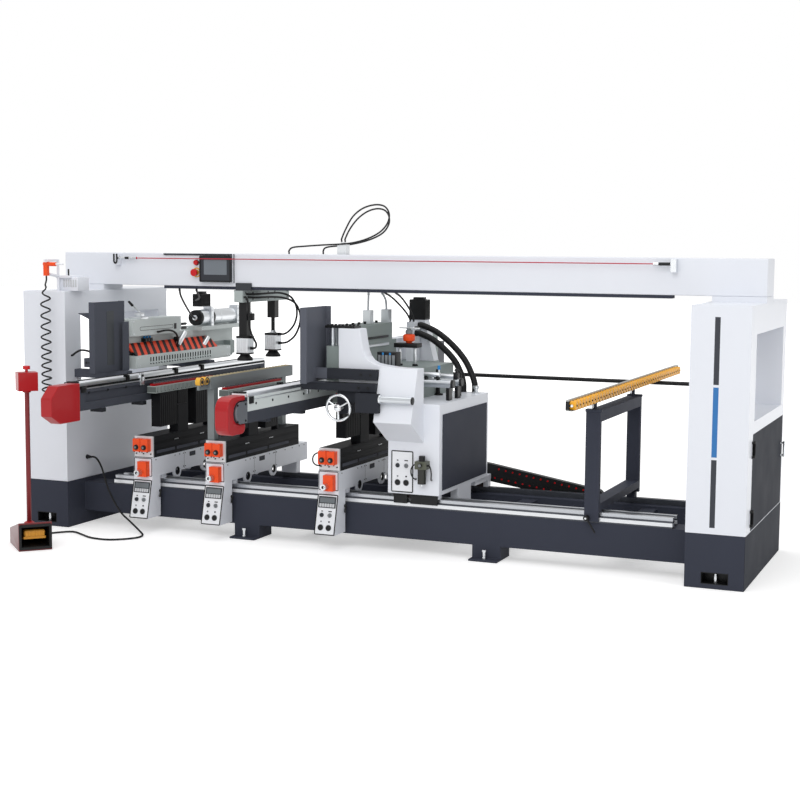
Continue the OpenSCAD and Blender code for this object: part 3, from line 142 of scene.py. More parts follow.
def maths(tree, operation, *values):
    """Adds an arithmetic node, whose inputs are numbers, sockets or nodes."""
    return put(tree, "ShaderNodeMath", {"operation": operation, **dict(enumerate(values))})


def emptied(made):
    """The node tree of a new material or world, without its nodes."""
    made.use_nodes = True
    made.node_tree.nodes.clear()
    return made.node_tree


def inside(tree, split, limits):
    """1 where the surface lies between the limits, which are in millimetres of the machine."""
    mask = None
    for axis, edges in limits.items():
        for operation, edge in zip(("GREATER_THAN", "LESS_THAN"), edges):
            if edge is not None:
                place = edge / 1000 + SHIFT["XYZ".index(axis)]
                test = maths(tree, operation, split.outputs[axis], place)
                mask = test if mask is None else maths(tree, "MULTIPLY", mask, test)
    return mask


def finish(name, colour, roughness, peel, mottle, metallic=0.0, zones=(), stretch=None, coat=0.0, ribs=(),
           shine=0.3):
    """A surface: its colour and gloss, boxes of other colours, ribs, and an uneven film or grain.

    zones holds (limits, colour, roughness, metallic), ribs holds (axis, pitch, depth, shade, limits), and
    peel is the size and height of the surface's small waves in millimetres."""
    made = bpy.data.materials.new(name)
    tree = emptied(made)
    coords = put(tree, "ShaderNodeTexCoord").outputs["Object"]
    split = put(tree, "ShaderNodeSeparateXYZ", {0: coords})
    if stretch:
        field = put(tree, "ShaderNodeMapping", {"Scale": stretch, "Vector": coords})
        fine = put(tree, "ShaderNodeTexNoise", {"Scale": 1.0, "Detail": 3.0, "Vector": field})
        cloud = fine
    else:
        fine = put(tree, "ShaderNodeTexNoise", {"Scale": 1000.0 / peel[0], "Detail": 3.0, "Vector": coords})
        cloud = put(tree, "ShaderNodeTexNoise", {"Scale": 5.0, "Detail": 4.0, "Vector": coords})
    paint = (*linear(colour), 1)
    gloss = roughness
    metal = metallic
    for limits, other, rough, metalness in zones:
        mask = inside(tree, split, limits)
        paint = put(tree, "ShaderNodeMix", {"data_type": "RGBA", 0: mask, 6: paint,
                                            7: (*linear(other), 1)}).outputs[2]
        gloss = put(tree, "ShaderNodeMix", {0: mask, 2: gloss, 3: rough})
        metal = put(tree, "ShaderNodeMix", {0: mask, 2: metal, 3: metalness})
    height = maths(tree, "MULTIPLY", fine, peel[1])
    tone = put(tree, "ShaderNodeMapRange", {"To Min": 1 - mottle, "To Max": 1 + mottle, "Value": cloud})
    # Ribs: a small bump along the axis, and painted shade that darkens the colour in each groove by the shade
    # share
    for axis, pitch, depth, dark, limits in ribs:
        wave = maths(tree, "SINE", maths(tree, "MULTIPLY", split.outputs[axis], 2000 * math.pi / pitch))
        lift = put(tree, "ShaderNodeMapRange", {"From Min": -0.7, "From Max": 0.1, "Value": wave})
        mask = inside(tree, split, limits)
        shown = maths(tree, "MULTIPLY", lift, mask)
        height = maths(tree, "MULTIPLY_ADD", shown, depth, height)
        groove = maths(tree, "SUBTRACT", mask, shown)
        tone = maths(tree, "MULTIPLY", tone, maths(tree, "MULTIPLY_ADD", groove, -dark, 1.0))
    tinted = put(tree, "ShaderNodeMix", {"data_type": "RGBA", "blend_type": "MULTIPLY", 0: 1.0, 6: paint,
                                         7: tone}).outputs[2]
    uneven = put(tree, "ShaderNodeMapRange", {"To Min": 0.85, "To Max": 1.15, "Value": cloud})
    bump = put(tree, "ShaderNodeBump", {"Strength": 0.6, "Distance": 0.001, "Height": height})
    shade = put(tree, "ShaderNodeBsdfPrincipled", {
        "Base Color": tinted, "Roughness": maths(tree, "MULTIPLY", uneven, gloss), "Metallic": metallic,
        "Coat Weight": coat, "Specular IOR Level": shine, "Normal": bump})
    if zones:
        tree.links.new(metal.outputs[0], shade.inputs["Metallic"])
    put(tree, "ShaderNodeOutputMaterial", {"Surface": shade})
    return made


def stripes(name, first, second, pitch, slant):
    """Slanted warning stripes in two satin paints, along y and leaning with z."""
    made = finish(name, first, 0.42, (4.0, 0.05), 0.05)
    tree = made.node_tree
    shade = next(n for n in tree.nodes if n.type == "BSDF_PRINCIPLED")
    split = put(tree, "ShaderNodeSeparateXYZ", {0: put(tree, "ShaderNodeTexCoord").outputs["Object"]})
    lean = maths(tree, "MULTIPLY_ADD", split.outputs["Z"], slant, split.outputs["Y"])
    part = maths(tree, "FRACT", maths(tree, "MULTIPLY", lean, 1000.0 / pitch))
    mask = maths(tree, "GREATER_THAN", part, 0.5)
    old = shade.inputs["Base Color"].links[0].from_socket
    paint = put(tree, "ShaderNodeMix", {"data_type": "RGBA", 0: mask, 6: old, 7: (*linear(second), 1)})
    tree.links.new(paint.outputs[2], shade.inputs["Base Color"])
    return made


def zone(colour, roughness=0.4, metallic=0.0, **limits):
    """Limits in millimetres along X, Y and Z within which a surface has another colour and gloss."""
    return limits, colour, roughness, metallic


FINISHES = {}
INK = "#0F1012"
SILVER = "#DDE0E3"
BELT = "#E4E6EA"
MATT = {"shine": 0.06}
GROUND = {"stretch": (6.0, 500.0, 500.0)}


def add(key, name, *values, **more):
    """Keeps a finish under a short key, or under the name of the one node that has it."""
    FINISHES[key] = finish(name, *values, **more)


def white_coat(key, name, colours, *zones):
    """Powder coat on white sheet: satin, with a faint orange peel of a few millimetres."""
    add(key, name, colours.white, 0.36, (5.0, 0.06), 0.015, coat=0.1, zones=zones)


def dark_coat(key, name, colour, *zones, roughness=0.55, mottle=0.05):
    """Powder coat on dark sheet, which is nearly matt."""
    add(key, name, colour, roughness, (5.0, 0.07), mottle, zones=zones, **MATT)


def plain_finishes(colours):
    """Finishes of one colour: key, name, colour, roughness, small waves and mottling."""
    white_coat("white", "white_powder_coat", colours)
    dark_coat("dark", "dark_powder_coat", colours.dark)
    dark_coat("slate", "slate_powder_coat", "#4C4F58", mottle=0.04)
    add("black", "black_enamel", colours.black, 0.4, (4.0, 0.06), 0.08)
    add("red", "red_enamel", colours.red, 0.34, (6.0, 0.05), 0.03, coat=0.08)
    add("pedal_housing", "pedal_shell_enamel", "#6B1F23", 0.32, (6.0, 0.05), 0.04, coat=0.2)
    # Ground steel: grinding lines run along the rails, drawn a few millimetres wide so that they show
    add("steel", "ground_steel", "#D6D9DC", 0.26, (1, 0.004), 0.1, 1.0, **GROUND)
    add("chrome", "hard_chrome", "#DADDE0", 0.2, (8.0, 0.01), 0.02, 1.0)
    add("aluminium", "drawn_aluminium", SILVER, 0.34, (1, 0.02), 0.06, 1.0, stretch=(400.0, 400.0, 8.0))
    # Moulded plastics: fine spark-eroded grain
    add("orange", "orange_moulding", colours.orange, 0.38, (1.5, 0.05), 0.03)
    add("yellow", "yellow_moulding", colours.yellow, 0.4, (1.5, 0.05), 0.06)
    add("gold", "pedal_moulding", "#C68A2E", 0.4, (2.0, 0.05), 0.05)
    add("red_plastic", "red_moulding", "#C4141A", 0.25, (2.0, 0.02), 0.02)
    add("blue_plastic", "blue_moulding", "#2F86C8", 0.35, (2.0, 0.03), 0.03)
    add("black_plastic", "black_moulding", INK, 0.45, (1.5, 0.08), 0.1)
    add("grey_plastic", "grey_moulding", "#7C8083", 0.4, (1.5, 0.05), 0.05)
    add("key", "key_caps", "#C6C9CC", 0.4, (2.0, 0.03), 0.03)
    add("bezel", "display_frame", "#34383D", 0.4, (2.0, 0.03), 0.04)
    # Extruded tube: slightly waxy
    add("rubber", "black_rubber", "#151517", 0.55, (2.0, 0.1), 0.12)
    add("tube", "clear_air_tube", "#C8CCD0", 0.25, (4.0, 0.02), 0.03)
    # Film and glass: almost flat, so they hold a clear highlight
    add("screen_glass", "screen_cover", "#6E757C", 0.14, (40.0, 0.01), 0.12, coat=0.5)
    add("display", "display_glass", "#6B7276", 0.15, (30.0, 0.01), 0.1, coat=0.5)
    add("field", "printed_panel_film", "#E9EBEF", 0.3, (3.0, 0.02), 0.01)
    FINISHES["stripes"] = stripes("striped_guard_paint", "#DE4B30", "#1A191B", 72.0, -0.9)


def sheet_finishes(colours):
    """Finishes of the folded sheet pieces that carry more than one paint or metal."""
    white = colours.white
    front = {"X": (2041, 2069), "Y": (-9, 4)}
    # Painted shade: the seat between the column top and the beam is dark grey where shade falls under the
    # beam
    white_coat("left_column", "white_powder_coat_with_painted_seat_shade", colours,
               zone("#5C5F68", X=(-1905, -1765), Z=(1463.5, None)))
    white_coat("right_column", "white_powder_coat_with_strip", colours,
               zone("#30333B", **front, Z=(1058, 1404)), zone(colours.blue, 0.35, **front, Z=(685, 1045)),
               zone("#30333B", **front, Z=(320, 672)), zone(INK, 0.5, X=(2226.5, None)))
    white_coat("beam_fittings", "gun_holder_coat", colours, zone(SILVER, 0.3, 1.0, X=(-1000, None)))
    white_coat("carriage", "carriage_powder_coat", colours,
               zone("#D3D6D9", 0.4, 0.3, Y=(None, 90.5), Z=(460.5, None)))
    white_coat("right_cabinet", "cabinet_powder_coat", colours,
               zone("#3A3032", 0.5, X=(None, 438), Z=(None, 344.5)))
    # Painted shade: the door on the right-facing side is painted darker than the dark enamel, to hold back
    # the light that falls on that side
    dark_coat("column_door", "door_powder_coat_darkened_as_shade", "#292C34", zone(INK, 0.5, X=(2226.4, None), Y=(None, 300)),
              zone(SILVER, 0.25, 1.0, X=(2226.4, None), Y=(1000, None)), roughness=0.6)
    # Painted shade: the bed's right-facing side is a darker grey than the rest, to hold back the light that
    # falls on that side
    dark_coat("bed_frame", "bed_powder_coat_with_painted_side_shade", colours.dark, zone("#2D3038", 0.6, X=(2224, None)))
    # The guard plate's lighter grey is partly its own paint and partly painted light, lifted against the
    # shade in its channel
    dark_coat("right_guard_bracket", "right_bracket_coat", "#303238",
              zone("#5A5D66", X=(None, -150), Y=(-160, 180), Z=(979, None)), roughness=0.5)
    add("control_station", "station_moulding", "#2C2F35", 0.4, (1.5, 0.05), 0.05, zones=[
        zone("#E3B02B", 0.35, X=(-1272, -1228), Z=(1556, 1602)),
        zone("#C0151B", 0.25, X=(-1267, -1233), Z=(1623, 1657)), zone(white, X=(-993.8, -986))])
    add("pull_wire", "pull_wire_sheath", "#B3263A", 0.4, (2.0, 0.05), 0.04, zones=[
        zone(SILVER, 0.25, 1.0, X=(None, -1661)), zone(SILVER, 0.25, 1.0, X=(1621, None)),
        zone(white, X=(-1832, -1799)), zone(INK, X=(-1745, -1715)), zone(INK, X=(1650, 1716))])
    add("blow_gun", "air_gun_moulding", colours.orange, 0.38, (1.5, 0.05), 0.03, zones=[
        zone(BELT, 0.3, X=(-1934, None))])
    add("pedestal", "pedestal_enamel", colours.red, 0.34, (6.0, 0.05), 0.03, coat=0.08, zones=[
        zone("#7A2327", 0.32, Z=(None, 904.5))])


def machine_finishes(colours):
    """Finishes of the rails, heads, arms and drill units that carry more than one paint or metal."""
    arm = ("#42454D", 0.5, (4.0, 0.06), 0.05)
    in_slots = {"Y": (395, 1150), "Z": (1001, 1046)}
    # Painted highlight and shade: dark grey steel with a bright band on the rail's front face as its
    # highlight, and a plain silver top
    add("guide_rails", "rail_steel_with_painted_highlight_and_shade", "#4A4D54", 0.4, (1, 0.004), 0.08, 0.5, **GROUND, zones=[
        zone("#DCDEE1", 0.3, 0.5, Z=(RAIL_FOOT + 9, RAIL_FOOT + 29)),
        zone("#B4B7BC", 0.3, 0.9, Z=(RAIL_FOOT + 37, None))])
    add("press_unit", "press_unit_metal", SILVER, 0.34, (2.0, 0.03), 0.05, 1.0, zones=[
        zone("#A9B2B1", 0.5, Z=(1399, None)), zone(INK, Z=(1178, 1399)),
        zone("#33363B", Y=(None, 445.5), Z=(1472, None))])
    add("left_head_frame", "left_head_paint", "#C4CBCA", 0.45, (3.0, 0.2), 0.05, zones=[
        zone(SILVER, 0.34, 1.0, Y=(1070, 1600), Z=(1206, None)),
        zone(INK, 0.45, Y=(1070, 1105), Z=(1206, None)), zone(INK, 0.45, Y=(1220.5, 1262), Z=(1206, None)),
        zone(INK, 0.45, Z=(1335.5, None)), zone("#8E9897", 0.45, Z=(None, 1090), X=(-1650.5, None))])
    add("drill_box", "drill_box_paint", "#C0C7C6", 0.45, (3.0, 0.12), 0.05, zones=[
        zone(INK, 0.6, X=sides, **in_slots) for sides in ((-1600, -1560.6), (-275.4, -236))])
    add("right_head_frame", "right_head_paint", colours.grey, 0.5, (3.0, 0.25), 0.07, zones=[
        zone(colours.white, 0.36, Y=(895, 1095), Z=(1040.5, 1293.5)),
        zone(INK, 0.45, Y=(1005, 1095), Z=(1293.5, None)), zone(colours.dark, 0.42, Y=(1605, None))])
    add("left_arm", "left_arm_finish", *arm, **MATT, zones=[
        zone(INK, Z=(928, None)), zone(BELT, 0.35, X=(-1520.5, -1439.5), Z=(944, None)),
        zone(INK, Z=(962.5, None)), zone("#2B2D31", Z=(None, 804.5))])
    add("right_arm", "right_arm_finish", *arm, **MATT, zones=[
        zone("#CBD2D1", 0.38, Y=(-639, None), Z=(868, None)), zone(BELT, 0.35, Z=(945, None)),
        zone(INK, Z=(962.5, None)), zone("#777B80", 0.35, 0.6, Y=(None, -640.5))])
    add("drill_head", "drill_unit_finish", "#111215", 0.5, (3.0, 0.1), 0.1, **MATT, zones=[
        zone("#9DA6A4", 0.45, Z=(850, 892.5)), zone("#9C171D", 0.35, Z=(892.5, 905.5)),
        zone("#54585C", 0.35, 0.6, Z=(905.5, None))],
        # The ribs' grooves carry painted shade
        ribs=[("Y", 16.0, 1.5, 0.65, {"Z": (854, 888)}), ("Y", 24.0, 2.0, 0.5, {"Z": (640, 830)})])
    # The base's ribs darken their grooves with painted shade
    add("base", "unit_base_enamel", "#1A1B1E", 0.5, (3.0, 0.1), 0.1, **MATT,
        ribs=[("Z", 43.0, 2.0, 0.5, {"Z": (472, 585), "Y": (95, 1040)})])
    add("middle_roller_bar", "middle_roller_finish", "#7A8183", 0.45, (3.0, 0.06), 0.05, zones=[
        zone("#A79A76", X=(-977, -935), Y=(60, None), Z=(936.2, None)),
        zone("#E3AE3E", Y=(None, 59.5), Z=(928.5, None))])
    add("roller_bar", "roller_bar_finish_with_painted_gap_shade", "#A9ABA8", 0.38, (3.0, 0.04), 0.05, 0.6, zones=[
        zone(colours.yellow, X=(1362.2, None), Z=(919.2, None)),
        # Painted shade: the web's face behind the rollers is black, so that the gaps between the rollers read
        # dark
        zone(INK, 0.5, X=(1361.5, 1362.2), Z=(None, 966))])
    filter_box = {"X": (355, 436), "Y": (None, 160)}
    add("right_fittings", "fitting_metal", "#C3C7CB", 0.32, (4.0, 0.01), 0.05, 1.0, zones=[
        zone(INK, X=(-190, 6), Y=(60, 156), Z=(1283.5, 1300)),
        zone("#D2D7DA", 0.3, 0.4, Y=(580, 830), Z=(1284, None)),
        zone(INK, X=(425, 455), Y=(390, 590), Z=(None, 938)), zone(INK, X=(455, None), Y=(390, 590)),
        zone("#2B2C28", 0.2, **filter_box, Z=(None, 505)), zone("#55584C", 0.35, **filter_box, Z=(499, 546)),
        zone(INK, **filter_box, Z=(545.5, 600))])


def by_node(groups):
    """Turns groups of nodes into one value for each node."""
    return {node: value for value, nodes in groups.items() for node in nodes}


# A part of a drill unit goes by its name without the unit's number
NODE_FINISH = by_node({
    "white": ("beam",), "dark": ("cable_duct", "right_side_panel", "roller_frame"), "black": ("rear_rod",),
    "slate": ("left_guard_bracket",), "red": ("left_arm_cover", "right_arm_cover"), "chrome": ("handwheel",),
    "steel": ("levelling_bolts",), "black_plastic": ("drag_chain", "clamp_lever"), "gold": ("pedal",),
    "stripes": ("left_striped_guard",), "drill_box": ("left_drill_box", "right_drill_box"),
    "red_plastic": ("estop_button", "pedestal_button"), "orange": ("counters",), "aluminium": ("handle",),
    "rubber": ("press_feet", "beam_hoses", "curly_hose", "pedal_cable", "head_hoses"),
})
# Radius in millimetres of the rounded edges of the pieces that show them
NODE_EDGE = by_node({
    1.0: ("left_drill_box", "right_drill_box"),
    1.5: ("right_guard_bracket", "left_guard_bracket", "left_arm", "right_arm", "guide_rails"),
    2.0: ("control_station", "press_unit", "column_door", "base", "handle", "drill_head"),
    3.0: ("right_head_frame", "left_head_frame", "roller_frame", "blow_gun", "pedal"),
    4.0: ("bed_frame", "right_cabinet"), 5.0: ("left_column", "right_column", "beam"),
    6.0: ("pedal_housing", "left_arm_cover", "right_arm_cover", "counters"), 10.0: ("pedestal",),
})


# Meshes


def linked(name, data):
    """A new object of the scene."""
    made = bpy.data.objects.new(name, data)
    bpy.context.scene.collection.objects.link(made)
    return made


def plain_mesh(holder):
    """The mesh that a curve or a modifier makes; its object is taken away."""
    bpy.context.view_layer.update()
    ready = holder.evaluated_get(bpy.context.evaluated_depsgraph_get())
    mesh = bpy.data.meshes.new_from_object(ready)
    bpy.data.objects.remove(holder)
    return mesh


def show(name, mesh, finishes, body):
    """Adds a mesh to the scene as a piece of a body."""
    for kind in finishes:
        mesh.materials.append(FINISHES[kind])
    mesh.polygons.foreach_set("use_smooth", [True] * len(mesh.polygons))
    mesh.set_sharp_from_angle(angle=SHARP_ANGLE)
    made = linked(name, mesh)
    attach(made, body)


class Pile:
    """Collects the solids of one piece in a single mesh; a solid's slot counts in the piece's finishes."""

    def __init__(self):
        self.mesh = bmesh.new()

    def take(self, part, slot, place):
        """Adds a solid that is ready."""
        part.transform(place)
        for face in part.faces:
            face.material_index = slot
        spare = bpy.data.meshes.new("spare")
        part.to_mesh(spare)
        part.free()
        self.mesh.from_mesh(spare)
        bpy.data.meshes.remove(spare)

    def skin(self, rings, slot, place, ends="open"):
        """Faces between rings of points; the ends stay open, get caps or meet in a loop."""
        part = bmesh.new()
        rings = [[part.verts.new(point) for point in ring] for ring in rings]
        if ends == "loop":
            rings.append(rings[0])
        count = max(len(ring) for ring in rings)
        for a, b in zip(rings, rings[1:]):
            for k in range(count):
                m = (k + 1) % count
                corners = (a[k % len(a)], a[m % len(a)], b[m % len(b)], b[k % len(b)])
                corners = list(dict.fromkeys(corners))
                if len(corners) > 2:
                    part.faces.new(corners)
        if ends == "caps":
            part.faces.new(rings[0][::-1])
            part.faces.new(rings[1])
        bmesh.ops.recalc_face_normals(part, faces=part.faces[:])
        self.take(part, slot, place)

    def slab(self, low, high, edge, slot, place=PLACE):
        """A box with rounded edges."""
        part = bmesh.new()
        bmesh.ops.create_cube(part, size=1.0)
        for vert in part.verts:
            vert.co = Vector([low[i] + (vert.co[i] + 0.5) * (high[i] - low[i]) for i in range(3)])
        limit = EDGE_SHARE * min(high[i] - low[i] for i in range(3))
        bmesh.ops.bevel(part, geom=part.edges[:], offset=min(edge, limit), segments=2, profile=0.5,
                        affect="EDGES", clamp_overlap=True)
        self.take(part, slot, place)

    def slabs(self, *rows):
        """Several boxes."""
        for row in rows:
            self.slab(*row)

    def plate(self, low, high, corner, slot, place, hole=None):
        """A flat plate with round corners, drawn in x and y; hole is the width of a frame's bars."""
        def outline(inset, z):
            points = []
            r = max(corner - inset, 0.5)
            for right, up, start in ((1, 1, 0), (0, 1, 90), (0, 0, 180), (1, 0, 270)):
                x = high[0] - inset - r if right else low[0] + inset + r
                y = high[1] - inset - r if up else low[1] + inset + r
                for k in range(5):
                    a = math.radians(start + 22.5 * k)
                    points.append((x + r * math.cos(a), y + r * math.sin(a), z))
            return points

        rings = [outline(0.0, low[2]), outline(0.0, high[2])]
        if hole:
            rings += [outline(hole, high[2]), outline(hole, low[2])]
        self.skin(rings, slot, place, "loop" if hole else "caps")

    def prism(self, outline, low, high, slot, place):
        """A flat outline in x and y, thick from low to high along z."""
        self.skin([[(x, y, z) for x, y in outline] for z in (low, high)], slot, place, "caps")

    def rod(self, start, end, radius, slot, taper=None, sides=20, edge=0.6, place=PLACE):
        """A round bar from start to end, with its rims broken; taper is the radius at its end."""
        start = Vector(start)
        end = Vector(end)
        part = bmesh.new()
        bmesh.ops.create_cone(part, cap_ends=True, segments=sides, radius1=radius,
                              radius2=radius if taper is None else taper, depth=(end - start).length)
        if edge > 0:
            rims = [e for e in part.edges if len(e.link_faces) == 2 and e.calc_face_angle(0.0) > RIM_ANGLE]
            bmesh.ops.bevel(part, geom=rims, offset=edge, segments=2, profile=0.5, affect="EDGES")
        turn = (end - start).to_track_quat("Z", "Y").to_matrix().to_4x4()
        self.take(part, slot, place @ Matrix.Translation((start + end) / 2) @ turn)

    def rods(self, *rows):
        """Several round bars."""
        for row in rows:
            self.rod(*row)

    def lathe(self, centre, axis, profile, slot, sides=24, place=PLACE):
        """A turned shape: profile holds (radius, height) along the axis."""
        rings = []
        for radius, height in profile:
            angles = [2 * math.pi * k / sides for k in range(1 if radius < 1e-6 else sides)]
            rings.append([(radius * math.cos(a), radius * math.sin(a), height) for a in angles])
        turn = Vector(axis).to_track_quat("Z", "Y").to_matrix().to_4x4()
        self.skin(rings, slot, place @ Matrix.Translation(Vector(centre)) @ turn)

    def done(self, name, finishes, body):
        """Makes the piece, which then moves with the body."""
        mesh = bpy.data.meshes.new(name)
        self.mesh.to_mesh(mesh)
        self.mesh.free()
        show(name, mesh, finishes, body)


def smoothed(points, steps):
    """A smooth line through the points, by the same rule as in the part's source."""
    points = [Vector(p) for p in points]
    line = []
    for i in range(len(points) - 1):
        a = points[max(i - 1, 0)]
        b = points[i]
        c = points[i + 1]
        d = points[min(i + 2, len(points) - 1)]
        for s in range(steps):
            t = s / steps
            line.append(0.5 * (2 * b + (c - a) * t + (2 * a - 5 * b + 4 * c - d) * t * t
                               + (3 * b - a - 3 * c + d) * t * t * t))
    line.append(points[-1])
    return line


def cord(name, points, radius, body, node=None, kind="rubber", across=None, steps=4):
    """A hose or cable through points in millimetres.

    across holds two bodies and the points where the hose leaves one and reaches the other."""
    line = [PLACE @ p for p in smoothed(points, steps)]
    curve = bpy.data.curves.new(name, "CURVE")
    curve.dimensions = "3D"
    curve.bevel_depth = radius / 1000
    curve.bevel_resolution = 3
    curve.use_fill_caps = True
    spline = curve.splines.new("POLY")
    spline.points.add(len(line) - 1)
    for point, place in zip(spline.points, line):
        point.co = (*place, 1.0)
    spline.use_smooth = True
    curve.materials.append(FINISHES[kind])
    made = linked(name, curve)
    if across:
        made = linked(name, plain_mesh(made))
        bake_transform(made)
    else:
        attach(made, body)
    if node:
        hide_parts(node)


# Geometry trees


def tree_with(name, sizes):
    """A geometry tree with named sizes in metres and a finish as its inputs, and its input node."""
    tree = bpy.data.node_groups.new(name, "GeometryNodeTree")
    tree.interface.new_socket("Geometry", in_out="INPUT", socket_type="NodeSocketGeometry")
    for title, size in sizes.items():
        item = tree.interface.new_socket(title, in_out="INPUT", socket_type="NodeSocketFloat")
        item.default_value = size
    tree.interface.new_socket("Finish", in_out="INPUT", socket_type="NodeSocketMaterial")
    tree.interface.new_socket("Geometry", in_out="OUTPUT", socket_type="NodeSocketGeometry")
    return tree, tree.nodes.new("NodeGroupInput")


def copied(tree, given, shape, axis):
    """Ends a tree: real, painted copies of a shape on the points, with the axis along their facing."""
    facing = put(tree, "GeometryNodeInputNamedAttribute", {"data_type": "FLOAT_VECTOR", "Name": "facing"})
    turn = put(tree, "FunctionNodeAlignRotationToVector", {"axis": axis, "Vector": facing})
    copies = put(tree, "GeometryNodeInstanceOnPoints", {"Points": given.outputs["Geometry"],
                                                        "Instance": shape, "Rotation": turn})
    real = put(tree, "GeometryNodeRealizeInstances", {"Geometry": copies})
    paint = put(tree, "GeometryNodeSetMaterial", {"Geometry": real, "Material": given.outputs["Finish"]})
    put(tree, "NodeGroupOutput", {"Geometry": paint})
    return tree


def screw_tree():
    """Socket head screws that stand on points and face along an attribute."""
    tree, given = tree_with("socket_screws", {"Radius": 0.0065, "Height": 0.006})
    head = put(tree, "GeometryNodeMeshCylinder", {"Vertices": 14, "Radius": given.outputs["Radius"],
                                                  "Depth": given.outputs["Height"]})
    top = put(tree, "GeometryNodeExtrudeMesh", {"mode": "FACES", "Offset Scale": 0.0, "Mesh": head,
                                                "Selection": head.outputs["Top"]})
    ring = put(tree, "GeometryNodeScaleElements", {"domain": "FACE", "Scale": 0.5, "Geometry": top,
                                                   "Selection": top.outputs["Top"]})
    depth = maths(tree, "MULTIPLY", given.outputs["Height"], -0.6)
    socket = put(tree, "GeometryNodeExtrudeMesh", {"mode": "FACES", "Mesh": ring,
                                                   "Selection": top.outputs["Top"], "Offset Scale": depth})
    return copied(tree, given, socket, "Z")


def link_tree():
    """Long rounded plates on points, laid along an attribute, for the side plates of chain links."""
    tree, given = tree_with("chain_plates", {"Radius": 0.017, "Length": 0.022, "Height": 0.006})
    disc = put(tree, "GeometryNodeMeshCylinder", {"Vertices": 16, "Radius": given.outputs["Radius"],
                                                  "Depth": given.outputs["Height"]})
    both = put(tree, "GeometryNodeJoinGeometry")
    for side in (-0.5, 0.5):
        shift = maths(tree, "MULTIPLY", given.outputs["Length"], side)
        place = put(tree, "ShaderNodeCombineXYZ", {"X": shift})
        end = put(tree, "GeometryNodeTransform", {"Rotation": (math.pi / 2, 0, 0), "Geometry": disc,
                                                  "Translation": place})
        tree.links.new(end.outputs[0], both.inputs[0])
    return copied(tree, given, put(tree, "GeometryNodeConvexHull", {"Geometry": both}), "X")


def grown(name, tree, points, sizes, kind, body):
    """Runs a geometry tree on points with directions and keeps the result as a plain mesh."""
    seed = bpy.data.meshes.new(name + "_points")
    seed.from_pydata([tuple(p) for p, _ in points], [], [])
    facing = seed.attributes.new("facing", "FLOAT_VECTOR", "POINT")
    facing.data.foreach_set("vector", [c for _, d in points for c in d])
    holder = linked(name + "_points", seed)
    change = holder.modifiers.new("Grow", "NODES")
    change.node_group = tree
    values = {"Finish": FINISHES[kind], **sizes}
    for item in tree.interface.items_tree:
        if item.item_type == "SOCKET" and item.in_out == "INPUT" and item.name in values:
            change[item.identifier] = values[item.name]
    mesh = plain_mesh(holder)
    mesh.name = name
    # The finish alone, without the empty slot that the tree's shapes start with
    mesh.materials.clear()
    mesh.polygons.foreach_set("material_index", [0] * len(mesh.polygons))
    show(name, mesh, [kind], body)


def screws(name, places, facing, body, kind="black_plastic", radius=None, height=0.005):
    """Socket screws at places in millimetres, all facing one way."""
    tree = bpy.data.node_groups.get("socket_screws") or screw_tree()
    sizes = {"Radius": radius or bpy.context.scene.boring_sizes.screw, "Height": height}
    grown(name, tree, [(PLACE @ Vector(p), facing) for p in places], sizes, kind, body)


# Places to draw on, and shapes that more than one piece has


def facing_front(x, y, z):
    """A place on a front face: x to the right, y up and z out of the face."""
    return PLACE @ Matrix.Translation((x, y, z)) @ UPRIGHT


def facing_right(x):
    """A place on a right face: x runs to the rear, y up and z out of the face."""
    return PLACE @ Matrix.Translation((x, 0, 0)) @ Matrix(((0, 0, 1), (1, 0, 0), (0, 1, 0))).to_4x4()


def on_slope(left):
    """A place on the sloping panel of the drill unit whose left side is given."""
    length = math.hypot(PANEL_RISE, PANEL_RUN)
    rise = PANEL_RISE / length
    run = PANEL_RUN / length
    turn = Matrix(((1, 0, 0), (0, run, -rise), (0, rise, run))).to_4x4()
    return PLACE @ Matrix.Translation((left, 12, 95)) @ turn


PANEL_KINDS = ("field", "black_plastic", "display", "key", "grey_plastic", "bezel")
BUTTON = ((0, 9), (11, 9), (14, 7), (15, 4), (16, 3), (16, 0))
BUTTON_RIM = ((16, 0), (18, 0), (18, 3), (16, 3), (16, 0))
SELECTOR = ((0, 10), (10, 10), (11, 9), (11, 4), (13, 3), (13, 0))
DIAL = ((0, 13), (5, 13), (10, 14), (14, 10), (14, 4), (16, 3), (16, 0))


def control_film(pile, place, width, height, rows, display):
    """A film panel: a black frame, a display where there is one, plain marks, selectors and buttons."""
    pile.plate((0, 0, 0), (width, height, 1.2), 8, 0, place)
    pile.plate((0, 0, 0), (width, height, 2.4), 8, 1, place, hole=6)
    if display:
        pile.plate((10, 157, 0), (width - 10, 223, 3), 3, 5, place)
        pile.plate((18, 187, 0), (width - 18, 216, 3.6), 2, 2, place)
        key = (width - 32) / 6
        for k in range(6):
            pile.plate((17.5 + k * key, 162, 0), (14.5 + (k + 1) * key, 182, 4.2), 2, 3, place)
    marks, selectors, dots, buttons = rows
    for x, wide, dot, knob in ((0.29 * width, 5, 4, 5), (0.68 * width, 11, 1, 4)):
        pile.plate((x - wide, marks - 2.5, 0), (x + wide, marks + 3.5, 1.8), 1, 1, place)
        pile.rod((x, dots, 0), (x, dots, 3.5), 5, dot, place=place)
        pile.lathe((x, buttons, 0), UP, BUTTON, 1, place=place)
        pile.lathe((x, buttons, 0), UP, BUTTON_RIM, 4, place=place)
        pile.lathe((x, selectors, 0), UP, SELECTOR, knob, place=place)
        pile.slab((x - 2.5, selectors - 9, 8), (x + 2.5, selectors + 9, 18), 1, knob, place)


# Stage


